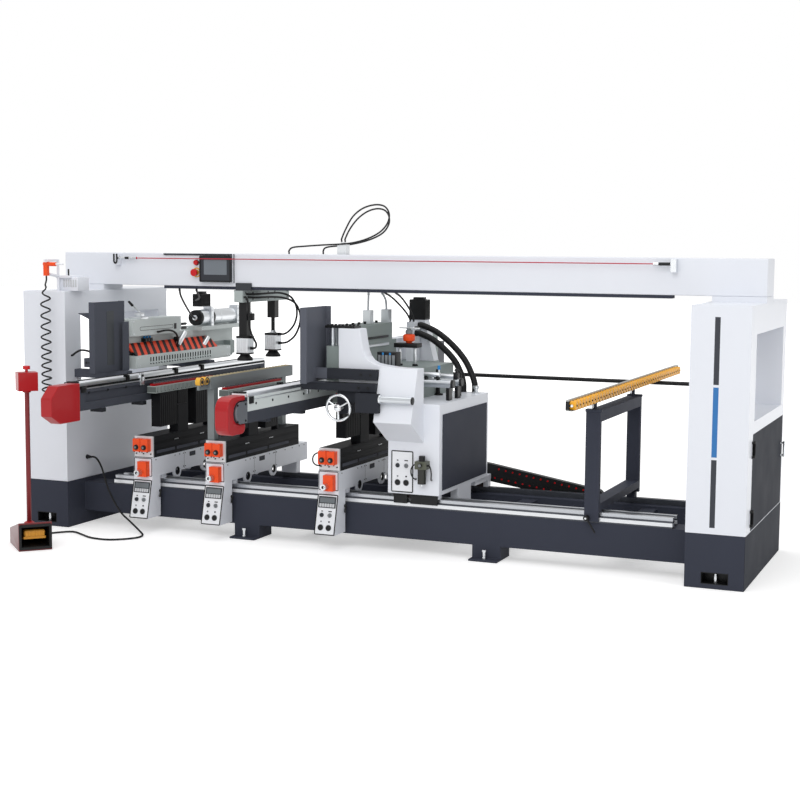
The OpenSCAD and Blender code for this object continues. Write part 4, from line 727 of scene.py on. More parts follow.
def camera():
    """The camera, turned as the parallel edges in the photo ask."""
    yaw, pitch, roll = (math.radians(angle) for angle in CAMERA_ANGLES)
    forward = Vector((-math.sin(yaw) * math.cos(pitch), math.cos(yaw) * math.cos(pitch), -math.sin(pitch)))
    right = forward.cross(Vector(UP)).normalized()
    down = forward.cross(right)
    across = math.cos(roll) * right + math.sin(roll) * down
    below = -math.sin(roll) * right + math.cos(roll) * down
    lens = bpy.data.cameras.new("camera")
    lens.sensor_fit = "HORIZONTAL"
    lens.sensor_width = 36.0
    lens.lens = CAMERA_LENS
    lens.clip_end = 100.0
    eye = linked("camera", lens)
    turn = Matrix((across, -below, -forward)).transposed().to_4x4()
    eye.matrix_world = Matrix.Translation(CAMERA_PLACE / 1000) @ turn
    return eye


def softbox(name, place, power):
    """A wide round lamp that faces the middle of the machine."""
    light = bpy.data.lights.new(name, "AREA")
    light.shape = "DISK"
    light.size = LAMP_SIZE
    light.energy = power
    holder = linked(name, light)
    holder.location = place
    holder.rotation_euler = (LAMP_AIM - Vector(place)).to_track_quat("-Z", "Y").to_euler()


def seen_by(tree, *rays):
    """1 for what the camera sees directly or by the rays named."""
    path = put(tree, "ShaderNodeLightPath")
    seen = path.outputs["Is Camera Ray"]
    for ray in rays:
        seen = maths(tree, "MAXIMUM", seen, path.outputs[ray])
    return seen


def studio():
    """A white surrounding, a little darker as light than as background."""
    world = bpy.data.worlds.new("studio")
    tree = emptied(world)
    glow = put(tree, "ShaderNodeBackground", {"Color": (1, 1, 1, 1), "Strength": 0.74})
    back = put(tree, "ShaderNodeBackground", {"Color": (1, 1, 1, 1), "Strength": 1.0})
    both = put(tree, "ShaderNodeMixShader", {0: seen_by(tree, "Is Transmission Ray"), 1: glow, 2: back})
    put(tree, "ShaderNodeOutputWorld", {"Surface": both})
    return world


def pale_floor():
    """A floor that glows a little where it is seen, and wholly far away, so that it ends in white."""
    mesh = bpy.data.meshes.new("floor")
    corners = ((-1, -1), (1, -1), (1, 1), (-1, 1))
    mesh.from_pydata([(FLOOR_REACH * x, FLOOR_REACH * y, 0) for x, y in corners], [], [(0, 1, 2, 3)])
    pale = bpy.data.materials.new("pale_floor")
    tree = emptied(pale)
    coords = put(tree, "ShaderNodeTexCoord").outputs["Object"]
    far = put(tree, "ShaderNodeVectorMath", {"operation": "LENGTH", 0: coords}).outputs["Value"]
    fade = put(tree, "ShaderNodeMapRange", {"From Min": 3.0, "From Max": 9.0, "To Min": 0.42, "To Max": 1.0,
                                            "Value": far})
    glow = maths(tree, "MULTIPLY", seen_by(tree, "Is Glossy Ray", "Is Transmission Ray"), fade)
    matt = put(tree, "ShaderNodeBsdfDiffuse", {"Color": (0.8, 0.8, 0.8, 1)})
    shine = put(tree, "ShaderNodeEmission", {"Color": (1, 1, 1, 1), "Strength": glow})
    both = put(tree, "ShaderNodeAddShader", {0: matt, 1: shine})
    put(tree, "ShaderNodeOutputMaterial", {"Surface": both})
    mesh.materials.append(pale)
    made = linked("floor", mesh)
    made.location.z = -FLOOR_DROP
    return made


# Operators


class BORING_OT_stage(bpy.types.Operator):
    """Sets the camera, the soft light and the pale floor"""
    bl_idname = "boring.stage"
    bl_label = "Stage"

    def execute(self, context):
        scene = context.scene
        scene.view_settings.view_transform = "Standard"
        scene.camera = camera()
        softbox("front_softbox", (1.0, -7.0, 5.0), 185.0)
        softbox("right_softbox", (10.0, -3.0, 4.5), 110.0)
        softbox("top_softbox", (-1.0, 0.5, 6.5), 115.0)
        scene.world = studio()
        floor = pale_floor()
        return {"FINISHED"}


class BORING_OT_cords(bpy.types.Operator):
    """Makes the hoses and cables that hang or lie free on the machine"""
    bl_idname = "boring.cords"
    bl_label = "Hoses and cables"

    def execute(self, context):
        cable = [PEDAL @ Vector((0, y, 40)) for y in (300.5, 310, 320)] + [
            (-1935, -395, 26), (-1925, -300, 9), (-1860, -190, 7), (-1790, -130, 7), (-1690, -180, 7),
            (-1580, -240, 7), (-1450, -243, 7), (-1350, -150, 7), (-1340, -60, 8), (-1400, 0, 22),
            (-1500, 55, 60), (-1604, 95, 115), (-1690, 105, 240), (-1760, 140, 365), (-1840, 195, 415),
            (-1895, 209, 417), (-1905, 209, 417), (-1916.5, 209, 417)]
        cord("pedal_lead", cable, 6.0, "frame", "pedal_cable")
        # Curly hose: a straight start, the coil, whose ends run in over a twelfth, and the bend to the inlet
        turns = 12
        rings = 24
        radius = 28
        fall = 700
        curls = [(-2004, -60, z) for z in (1555.5, 1545, 1530)]
        for i in range(turns * rings + 1):
            f = i / (turns * rings)
            wide = radius * min(1.0, f * 12, (1 - f) * 12)
            a = 2 * math.pi * i / rings
            drop = fall * f * (1 + 0.3 * (1 - f))
            curls.append((-2014 + wide * math.cos(a), -60 + wide * math.sin(a), 1500 - drop))
        curls += [(-2014, y, z) for y, z in ((-58, 775), (-44, 756), (-26, 750), (-10, 750), (-0.5, 750))]
        cord("curly_air_hose", curls, 5.0, "frame", "curly_hose", steps=1)
        # Loops above the beam, which start and end upright
        starts = (1771.5, 1781.5, 1791.5)
        ends = (1717.5, 1707.5, 1697.5)
        loop_1 = [(-308, 547, z) for z in starts] + [
            (-280, 545, 1850), (-234, 543, 1922), (-168, 541, 1971), (-89, 538, 1992), (-24, 533, 1983),
            (9, 527, 1941), (3, 521, 1886), (-43, 515, 1832), (-122, 509, 1792), (-214, 506, 1768),
            (-300, 505, 1759), (-418, 505, 1753), (-536, 505, 1745), (-616, 505, 1737)]
        loop_2 = [(-292, 563, z) for z in starts] + [
            (-262, 565, 1850), (-212, 566, 1910), (-150, 568, 1953), (-85, 570, 1970), (-35, 573, 1958),
            (-12, 577, 1920), (-18, 583, 1875), (-58, 592, 1828), (-130, 600, 1793), (-220, 606, 1768),
            (-320, 608, 1752), (-410, 608, 1744), (-448, 608, 1735)]
        loop_1 += [(-640, 505, z) for z in ends]
        loop_2 += [(-460, 608, z) for z in ends]
        cord("beam_loop_1", loop_1, 5.0, "frame", "beam_hoses")
        cord("beam_loop_2", loop_2, 5.0, "frame", "beam_hoses")
        # Hoses of the right head, which start level and end upright
        starts = (20.5, 30.5, 45.5)
        ends = (895.5, 880.5, 865.5)
        hose_1 = [(x, 925, 1215) for x in starts] + [
            (125, 925, 1185), (205, 925, 1130), (280, 925, 1055), (322, 925, 980), (338, 925, 925)]
        hose_2 = [(x, 975, 1262) for x in starts] + [
            (140, 975, 1225), (245, 970, 1150), (335, 955, 1060), (392, 935, 970), (412, 926, 922)]
        hose_1 += [(341, 925, z) for z in ends]
        hose_2 += [(415, 925, z) for z in ends]
        cord("head_hose_1", hose_1, 19.0, "right_head", "head_hoses")
        cord("head_hose_2", hose_2, 19.0, "right_head", "head_hoses")
        return {"FINISHED"}


class BORING_OT_air_lines(bpy.types.Operator):
    """Makes the short air lines of the heads, the press and the filter"""
    bl_idname = "boring.air_lines"
    bl_label = "Air lines"

    def execute(self, context):
        on_frame = {
            "left_head_line_1": [
                (-1399, 485, 1476.5), (-1399, 487, 1462), (-1412, 520, 1430), (-1470, 660, 1375),
                (-1545, 830, 1325), (-1605, 970, 1285), (-1632, 1045, 1266), (-1640, 1060, 1262),
                (-1640, 1074.5, 1262)],
            "left_head_line_2": [
                (-1276, 485, 1476.5), (-1278, 490, 1462), (-1310, 560, 1440), (-1420, 760, 1412),
                (-1545, 960, 1392), (-1630, 1075, 1380), (-1645, 1095, 1378), (-1645, 1109.5, 1378)],
            "press_line_1": [
                (-919.5, 480, 1450), (-905, 481, 1450), (-885, 540, 1449), (-870, 680, 1452),
                (-850, 800, 1450), (-815, 868, 1425), (-788, 888, 1370), (-782, 888, 1310),
                (-800, 887, 1250), (-838, 885, 1205), (-870, 883, 1187), (-889.5, 883, 1185)],
            "press_line_2": [
                (-919.5, 500, 1430), (-905, 501, 1430), (-882, 560, 1428), (-862, 700, 1428),
                (-835, 820, 1418), (-790, 880, 1385), (-762, 894, 1320), (-765, 894, 1250),
                (-795, 890, 1180), (-840, 885, 1140), (-870, 883, 1130), (-889.5, 883, 1128)],
            "press_line_3": [
                (-919.5, 447, 1432), (-906, 447, 1431), (-895, 449, 1405), (-892, 452, 1340),
                (-890, 458, 1270), (-884, 470, 1215), (-872, 488, 1172), (-866, 502, 1145),
                (-874, 510, 1122), (-889.5, 512, 1116)],
            "left_box_line": [
                (-1916.5, 60, 1066), (-1906, 60, 1068), (-1880, 60, 1086), (-1845, 60, 1100),
                (-1800, 60, 1098), (-1750, 60, 1084), (-1690, 60, 1072), (-1630, 60, 1068),
                (-1620, 60, 1068), (-1610.5, 60, 1068)],
        }
        for name, points in on_frame.items():
            cord(name, points, 6.5, "frame")
        # From the fixed block to the first air cylinder, which feeds with the drill box
        points = [(-1599.5, 540, 1196), (-1586, 540, 1197), (-1566, 570, 1204), (-1556, 630, 1202),
                  (-1556, 690, 1182), (-1566, 735, 1140), (-1584, 752, 1096), (-1590, 757.5, 1089.5)]
        across = ("frame", "left_drill_slide", (-1590, 560, 1140), (-1590, 735, 1140))
        cord("left_head_line_3", points, 6.5, None, across=across)
        loop = [(-216.5, 55, 562), (-228, 54, 563), (-246, 50, 550), (-254, 48, 530), (-250, 48, 508),
                (-238, 54, 494), (-226, 66, 488), (-222, 77.5, 487)]
        cord("unit_3_loop", loop, 4.0, "unit_3")
        filter_lines = {
            "filter_line_1": [(359.5, 118, 522), (350, 117, 522), (336, 112, 505), (333, 112, 475),
                              (340, 124, 447), (347, 142, 437), (348, 154.5, 436)],
            "filter_line_2": [(430.5, 118, 522), (440, 117, 522), (452, 112, 505), (456, 112, 475),
                              (450, 124, 447), (444, 142, 437), (443, 154.5, 436)],
        }
        for name, points in filter_lines.items():
            cord(name, points, 4.0, "right_head")
        # From the right head up to the beam
        risers = {
            "riser_1": (7.0, "tube", [
                (-162, 614, 1365.5), (-162, 614, 1380), (-160, 612, 1420), (-157, 608, 1460),
                (-156, 606, 1480), (-156, 606, 1494.5)]),
            "riser_2": (7.0, "tube", [
                (-123, 800, 1365.5), (-123, 800, 1380), (-116, 770, 1425), (-106, 690, 1470),
                (-102, 652, 1482), (-100, 645, 1494.5)]),
            "riser_3": (6.0, "rubber", [
                (-18, 925, 1285.5), (-18, 925, 1300), (-30, 880, 1350), (-62, 770, 1430), (-82, 670, 1472),
                (-86, 640, 1482), (-86, 632, 1494.5)]),
            "riser_4": (6.0, "rubber", [
                (6, 925, 1285.5), (6, 925, 1300), (4, 880, 1355), (-4, 770, 1432), (-8, 670, 1472),
                (-9, 640, 1482), (-9, 632, 1494.5)]),
        }
        for name, (radius, kind, points) in risers.items():
            across = ("frame", "right_head", (points[-1][0], 640, 1490), (points[-1][0], 640, 1375))
            cord(name, points, radius, None, kind=kind, across=across)
        return {"FINISHED"}


class BORING_OT_finishes(bpy.types.Operator):
    """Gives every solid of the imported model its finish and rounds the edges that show"""
    bl_idname = "boring.finishes"
    bl_label = "Finishes"

    def execute(self, context):
        for name, solid in NODES.items():
            part = name.split("_", 2)[2] if name.startswith("unit") else name
            solid.data.materials.clear()
            solid.data.materials.append(FINISHES[NODE_FINISH.get(part, part)])
            if part in NODE_EDGE:
                weld = solid.modifiers.new("Join", "WELD")
                weld.merge_threshold = 0.00002
                soften = solid.modifiers.new("Edges", "BEVEL")
                soften.width = NODE_EDGE[part] / 1000
                soften.segments = 2
                soften.limit_method = "ANGLE"
                soften.angle_limit = SHARP_ANGLE
                soften.harden_normals = True
        return {"FINISHED"}


class BORING_OT_panels(bpy.types.Operator):
    """Makes the film panels with their displays, selectors and buttons"""
    bl_idname = "boring.panels"
    bl_label = "Control panels"

    def execute(self, context):
        for number, side in UNITS:
            pile = Pile()
            control_film(pile, on_slope(side - UNIT_WIDTH), UNIT_WIDTH, 236, (137, 115, 78, 43), True)
            pile.done("unit_%d_panel" % number, PANEL_KINDS, "unit_%d" % number)
        pile = Pile()
        control_film(pile, facing_front(194, 155, 354), 135, 239, (183, 154, 92, 56), False)
        pile.done("right_panel", PANEL_KINDS, "right_head")
        return {"FINISHED"}


class BORING_OT_counters(bpy.types.Operator):
    """Makes the knobs, feet and frames of the position counters and the grips of their handles"""
    bl_idname = "boring.counters"
    bl_label = "Counter trim"

    def execute(self, context):
        for number, side in UNITS:
            left = side - UNIT_WIDTH
            pile = Pile()
            pile.plate((2, 2, 0), (UNIT_WIDTH - 2, 113, 1.6), 5, 1, facing_front(left, 70, 345), hole=4)
            for x in (left + 37, left + 91):
                pile.lathe((x, 38, 526), FRONT, DIAL, 1)
                pile.lathe((x, 38, 526), FRONT, ((0, 15), (6, 15), (7, 14), (7, 12)), 2)
                for foot in (x - 18, x + 18):
                    pile.rod((foot, 46, 574), (foot, 46, 580), 5, 0)
                    pile.rod((foot, 46, 502), (foot, 46, 494), 4, 1)
            # Painted shadow: a black strip in the gap between the front plate and the carriage, and the
            # plate's three fixing screws
            pile.slab((left + 1, 76, 457), (side - 1, 79, 463), 0.5, 1)
            for x in (left + 14, left + 65, side - 14):
                pile.rod((x, 72, 483), (x, 79, 483), 4, 1)
            pile.done("unit_%d_counter_trim" % number, ("orange", "black_plastic", "grey_plastic"),
                      "unit_%d" % number)
            cap = Pile()
            centre = (left + 68, -12, 376)
            cap.lathe(centre, FRONT, ((0, 2.2), (8, 2.2), (9, 1.4), (9, 0)), 0)
            ribs = 16
            radius = 17
            for k in range(ribs):
                a = 2 * math.pi * k / ribs
                x = centre[0] + radius * math.cos(a)
                z = centre[2] + radius * math.sin(a)
                cap.rod((x, -11, z), (x, 26, z), 1.6, 1, sides=8, edge=0)
            cap.done("unit_%d_handle_grip" % number, ("black_plastic", "aluminium"),
                     "unit_%d_handle" % number)
        return {"FINISHED"}


class BORING_OT_carriages(bpy.types.Operator):
    """Makes the seams, bushes, vents and screws of the drill unit carriages"""
    bl_idname = "boring.carriages"
    bl_label = "Carriage trim"

    def execute(self, context):
        along = (110, 330, 385, 428, 452, 640, 690, 708, 732, 850, 950, 1050, 1120)
        for number, side in UNITS:
            unit = "unit_%d" % number
            face = facing_right(side)
            pile = Pile()
            for y in (440, 720):
                pile.slab((y - 0.9, 347, -1), (y + 0.9, 459, 0.5), 0.2, 0, face)
            pile.plate((505, 418, -1), (575, 446, 1.2), 3, 0, face)
            for k in range(5):
                pile.slab((510 + k * 13, 421, 0), (518 + k * 13, 443, 2.0), 0.5, 2, face)
            ring = ((20, 0), (25.8, 0), (25.8, 14), (20, 14), (20, 0))
            for y in (360, 695):
                for x in (side - 13, side - UNIT_WIDTH - 1):
                    pile.lathe((x, y, 345), RIGHT, ring, 0)
            # A clamping lever on the side of the panel box
            pile.lathe((side, 150, 250), RIGHT, ((9, 0), (9, 8), (6, 12), (0, 12)), 0)
            pile.rod((side + 9, 150, 250), (side + 12, 132, 214), 4.5, 0, 6)
            # Cover plates on the black base, in a lighter paint
            for low, high in ((120, 330), (352, 610), (632, 900)):
                pile.plate((low, 482, -1), (high, 500, 1.2), 4, 2, face)
            if number == 2:
                for y in (32, -26):
                    pile.lathe((-940, y, 948), RIGHT, ((0, 4), (9, 4), (12, 0)), 0)
                    pile.lathe((-940, y, 948), RIGHT, ((19, 0), (21, 1.5), (25, 1.5), (25.5, 0)), 2)
            pile.done(unit + "_carriage_trim", ("black_plastic", "aluminium", "slate"), unit)
            seams = [(side, y, 446) for y in along] + [(side, y, 364) for y in (428, 452, 708, 732)]
            screws(unit + "_screws", seams, RIGHT, unit, radius=0.0035, height=0.004)
            groups = [(side, start + 13 * k, 548) for start in (330, 640) for k in range(4)]
            screws(unit + "_light_screws", groups, RIGHT, unit, "aluminium", 0.003, 0.004)
            bank = [(side - 2, 140 + 46 * k, 858) for k in range(16)]
            screws(unit + "_bank_screws", bank, RIGHT, unit + "_lift", radius=0.003, height=0.003)
        return {"FINISHED"}


class BORING_OT_left_head(bpy.types.Operator):
    """Makes the slots, valves, lever and screws of the left head, and the screws of both drill boxes"""
    bl_idname = "boring.left_head"
    bl_label = "Left head trim"

    def execute(self, context):
        block = -1600
        drum_x = -1640
        drum_z = 1262
        feed_x = -1590
        pin_x = -1612
        pile = Pile()
        face = facing_right(block)
        pile.plate((341, 1212, -1), (730, 1236, 0.8), 11, 0, face, hole=2.5)
        pile.plate((742, 1206, -1), (770, 1242, 2.0), 3, 0, face)
        for y in (430, 462, 494):
            pile.slab((-1651, y, 1138), (-1618, y + 24, 1160), 2, 0)
            pile.rod((-1634, y + 12, 1160), (-1634, y + 12, 1173), 7, 1)
        # Cramp on the block: a silver foot, a slanting lever and a black grip
        pile.slabs(((-1690, 350, 1284), (-1600, 440, 1298), 2, 2),
                   ((-1660, 372, 1297), (-1615, 418, 1322), 2, 2))
        pile.rods(((-1630, 395, 1316), (-1640, 318, 1372), 7, 2),
                  ((-1640, 320, 1370), (-1644, 286, 1396), 9, 0, 7))
        # Stop pins between the block and the first drum
        for z in (1206, 1232):
            pile.rods(((pin_x, 825, z), (pin_x, 905, z), 9, 0), ((pin_x, 900, z), (pin_x, 925, z), 6, 2))
        # Two short air cylinders over the guard, which feed with the drill box
        feed = Pile()
        for y, z in ((770, 1100), (1062, 1052)):
            feed.rods(((feed_x, y, z), (feed_x, y + 90, z + 78), 17, 1),
                      ((feed_x, y + 4, z + 3), (feed_x, y - 12, z - 10), 12, 0))
            feed.slab((-1640, y + 30, z + 20), (-1586, y + 60, z + 50), 3, 0)
        feed.done("left_air_cylinders", ("black_plastic", "aluminium"), "left_drill_slide")
        # Motor fins and terminal box, and the drums' caps and bands
        for k in range(7):
            pile.slab((-1684, 1118 + 16 * k, 1342), (-1606, 1122 + 16 * k, 1416), 0.8, 0)
        pile.slab((-1668, 1140, 1419), (-1622, 1200, 1436), 3, 0)
        for y in (1075, 1219):
            pile.lathe((drum_x, y, drum_z), FRONT, ((18, -1), (18, 4), (14, 7), (0, 7)), 2)
        for y in (1160, 1345, 1530):
            pile.lathe((drum_x, y, drum_z), REAR, ((52, 0), (54, 1), (54, 9), (52, 10)), 2)
        # Guard plate: a dark strip on its face, a sloping web at its left and a junction box
        pile.plate((-21, 1022, 0), (54, 1348, 1), 3, 4, face)
        pile.prism(((-1828, 1330), (-1640, 1338), (-1640, 1250)), -14, -6, 3, facing_front(0, 0, 0))
        pile.slab((-1798, 20, 1000), (-1716, 70, 1056), 3, 3)
        for k in range(3):
            pile.lathe((-1778 + 22 * k, 20, 1028), FRONT, ((0, 3), (7, 3), (8, 0)), 0)
        pile.done("left_head_trim", ("black_plastic", "blue_plastic", "aluminium", "slate", "bezel"), "frame")
        heads = [(block, y, z) for y in (270, 815) for z in (1195, 1272)]
        heads += [(-1580, y, z) for y in (1205, 1560) for z in (1225, 1262, 1310)]
        screws("left_head_screws", heads, RIGHT, "frame", "aluminium", 0.006)
        for side, x in (("left", -1560), ("right", -191)):
            heads = [(x, y, z) for y in (252, 272, 1362, 1392) for z in (1000, 1048)]
            screws(side + "_box_screws", heads, RIGHT, side + "_drill_slide", "aluminium", 0.005)
        return {"FINISHED"}


class BORING_OT_press(bpy.types.Operator):
    """Makes the ribs, end caps and air fittings of the two press cylinders"""
    bl_idname = "boring.press"
    bl_label = "Press trim"

    def execute(self, context):
        axis = -950
        low = 1092
        high = 1176
        pile = Pile()
        for y, inlet in ((512, 1116), (883, 1128)):
            for k in range(5):
                shift = -28 + 14 * k
                pile.slab((axis + shift - 3, y - 41.5, low), (axis + shift + 3, y - 39, high), 0.8, 1)
                pile.slab((axis + 39, y + shift - 3, low), (axis + 41.5, y + shift + 3, high), 0.8, 1)
            for foot, top in ((1078, 1089), (1180, 1192)):
                pile.slab((axis - 41, y - 41, foot), (axis + 41, y + 41, top), 1.5, 0)
            for z in (inlet, 1185):
                pile.slab((-910, y - 9, z - 9), (-899, y + 9, z + 9), 1.5, 0)
                pile.lathe((-899, y, z), RIGHT, ((6, 0), (6, 4), (8, 4), (8, 9), (0, 9)), 0)
            # Hexagon nut and washer under the guide
            pile.lathe((axis, y, 1192), UP, ((24, 0), (24, 4), (19, 5), (19, 16), (0, 16)), 1, sides=6)
        pile.slab((-924, 494, 1288), (-890, 530, 1332), 2, 0)
        pile.rod((-907, 512, 1331), (-907, 512, 1344), 6, 1)
        pile.done("press_trim", ("black_plastic", "aluminium"), "frame")
        heads = [(-920, y, z) for y in (470, 560, 760, 850, 1020) for z in (1418, 1458)]
        screws("press_screws", heads, RIGHT, "frame", radius=0.005)
        return {"FINISHED"}


class BORING_OT_right_head(bpy.types.Operator):
    """Makes the valves, posts, knobs and screws that stand on the sliding right head"""
    bl_idname = "boring.right_head"
    bl_label = "Right head trim"

    def execute(self, context):
        pile = Pile()
        # Orange valve on a bridge between two posts
        valve = (112, 600)
        for x in (55, 152):
            pile.rod((x, valve[1], 1039), (x, valve[1], 1152), 9, 1)
            pile.lathe((x, valve[1], 1040), UP, ((17, 0), (17, 8), (13, 12), (9, 12)), 0)
        bell = ((16, 0), (20, 8), (33, 12), (36, 22), (36, 44), (31, 52), (20, 54), (0, 54))
        pile.lathe((*valve, 1176), UP, bell, 2)
        pile.lathe((*valve, 1229), UP, ((18, 0), (22, 4), (22, 22), (12, 26), (12, 40), (0, 40)), 4)
        pile.slabs(((30, 560, 1150), (180, 640, 1176), 3, 0), ((52, 584, 1262), (176, 616, 1269), 2, 1),
                   ((150, 590, 1266), (172, 610, 1276), 2, 0))
        # Cross pieces on the grey block, with their bolts
        pile.slabs(((-97, 240, 1150), (-84, 760, 1166), 2, 1), ((-97, 240, 1196), (-88, 760, 1210), 2, 0))
        for k in range(7):
            pile.rod((-150, 200 + 85 * k, 1284), (-150, 200 + 85 * k, 1300), 9, 0)
        # Small cylinders on their clamps above the rams, the first with a push fitting
        for x in (290, 364):
            pile.slab((x, 404, 978), (x + 14, 436, 1002), 1.5, 0)
        for x in (296, 418):
            pile.slab((x, 540, 970), (x + 26, 580, 1012), 3, 0)
            pile.rod((x + 13, 560, 1010), (x + 13, 560, 1030), 7, 0)
        pile.rods(((283, 420, 1010), (383, 420, 1010), 14, 1), ((376, 420, 1018), (376, 420, 1042), 5, 1),
                  ((376, 420, 1040), (376, 420, 1064), 8, 3), ((320, 560, 992), (420, 560, 992), 13, 1))
        # Foot, pipe elbow and plug on the cabinet
        foot = ((30, 0), (30, 8), (13, 14), (11, 78), (16, 82), (16, 88), (0, 88))
        plug = ((22, 0), (22, 6), (12, 10), (12, 26), (20, 30), (20, 44), (0, 48))
        pile.lathe((272, 674, 865), UP, foot, 0)
        pile.rods(((401, 700, 864), (401, 700, 1002), 10, 0), ((401, 700, 998), (372, 700, 1022), 11, 0))
        pile.lathe((440, 880, 865), UP, plug, 1)
        # Valve manifold: a black block with light coils in its slots
        pile.slab((67, 232, 1039), (186, 300, 1145), 2, 0)
        for k in range(5):
            pile.slab((74 + 22 * k, 226, 1060), (90 + 22 * k, 236, 1128), 2, 4)
            pile.slab((77 + 22 * k, 228, 1128), (87 + 22 * k, 240, 1142), 1, 3 if k in (1, 3) else 0)
        # End cap and collar of the round bar
        pile.lathe((400, -34, 900), RIGHT, ((21, -5), (21.8, -4), (21.8, 1), (18, 2), (0, 2)), 0)
        pile.lathe((200, -34, 900), RIGHT, ((21, 0), (26, 1), (26, 10), (21, 11)), 1)
        # Gauge, drain and line fittings of the air filter
        pile.lathe((395, 92, 524), FRONT, ((11, -2), (11, 9), (10, 10), (10, 8), (0, 8)), 0)
        pile.lathe((395, 83.8, 524), FRONT, ((0, 0.4), (9, 0.4), (9, 0)), 4)
        pile.rod((395, 122, 402), (395, 122, 417), 7, 1)
        for x in (359, 431):
            pile.rod((x - 4, 118, 522), (x + 4, 118, 522), 7, 0)
        # Slide blocks on the front rail
        for low, high in ((202, 285), (305, 470)):
            pile.slab((low, 170, 288), (high, 184, 345), 2, 0)
        # Fins and terminal box of the motor on the spindle housing
        for k in range(6):
            pile.slab((-61, 1016 + 13 * k, 1300), (53, 1020 + 13 * k, 1414), 0.8, 0)
        pile.slab((-40, 1025, 1419), (32, 1075, 1434), 3, 0)
        pile.done("right_head_trim", ("black_plastic", "aluminium", "orange", "blue_plastic", "grey_plastic"),
                  "right_head")
        caps = [(-172 + 23 * k, y, 1298) for k in range(8) for y in (80, 136)]
        screws("cap_screws", caps, UP, "right_head", radius=0.0075, height=0.012)
        bars = [(x, y, z) for y, z in ((20, 1028), (-10, 957)) for x in (60, 120)]
        screws("bar_screws", bars, FRONT, "right_head", radius=0.008)
        # Hub and crank grip of the handwheel
        wheel_x = -50
        wheel_z = 842
        grip_x = wheel_x + 62
        grip_z = wheel_z - 36
        rim = Pile()
        rim.lathe((wheel_x, -52, wheel_z), FRONT, ((18, -4), (18, 4), (13, 8), (0, 9)), 0)
        rim.rods(((grip_x, -46, grip_z), (grip_x, -92, grip_z), 8, 1, 11),
                 ((grip_x, -90, grip_z), (grip_x, -96, grip_z), 9, 1))
        rim.done("handwheel_trim", ("chrome", "black_plastic"), "handwheel")
        return {"FINISHED"}


class BORING_OT_arms(bpy.types.Operator):
    """Makes the edge rails, end plates and screws of the two support arms"""
    bl_idname = "boring.arms"
    bl_label = "Arm trim"

    def execute(self, context):
        for name, left, body, front in (("left", -1535, "frame", -555), ("right", -411, "right_head", -635)):
            right = left + 110
            pile = Pile()
            pile.slabs(((left + 3, front, 944), (left + 14, 1655, 966), 1.5, 0),
                       ((right - 14, front, 944), (right - 2, 1655, 964), 1.5, 1),
                       ((right - 1, front + 20, 926), (right + 1.5, 1640, 932), 0.6, 1))
            # End stop on the front of the belt, and blocks on the arm's side
            pile.slabs(((left + 20, front - 2, 955), (right - 20, front + 26, 972), 3, 0),
                       ((right - 2, front + 12, 908), (right + 7, front + 58, 946), 2, 0),
                       ((right - 4, 60, 902), (right + 9, 100, 976), 2, 1))
            pile.rod((right + 8, 80, 960), (right + 15, 80, 960), 8, 0)
            pile.done(name + "_arm_trim", ("black_plastic", "aluminium"), body)
            heads = [(right, y, 905) for y in range(front + 90, 900, 190)]
            screws(name + "_arm_screws", heads, RIGHT, body, radius=0.007)
        corners = [(-301, y, z) for y in (-745, -660) for z in (822, 910)]
        screws("end_plate_screws", corners, RIGHT, "right_head", radius=0.006)
        return {"FINISHED"}


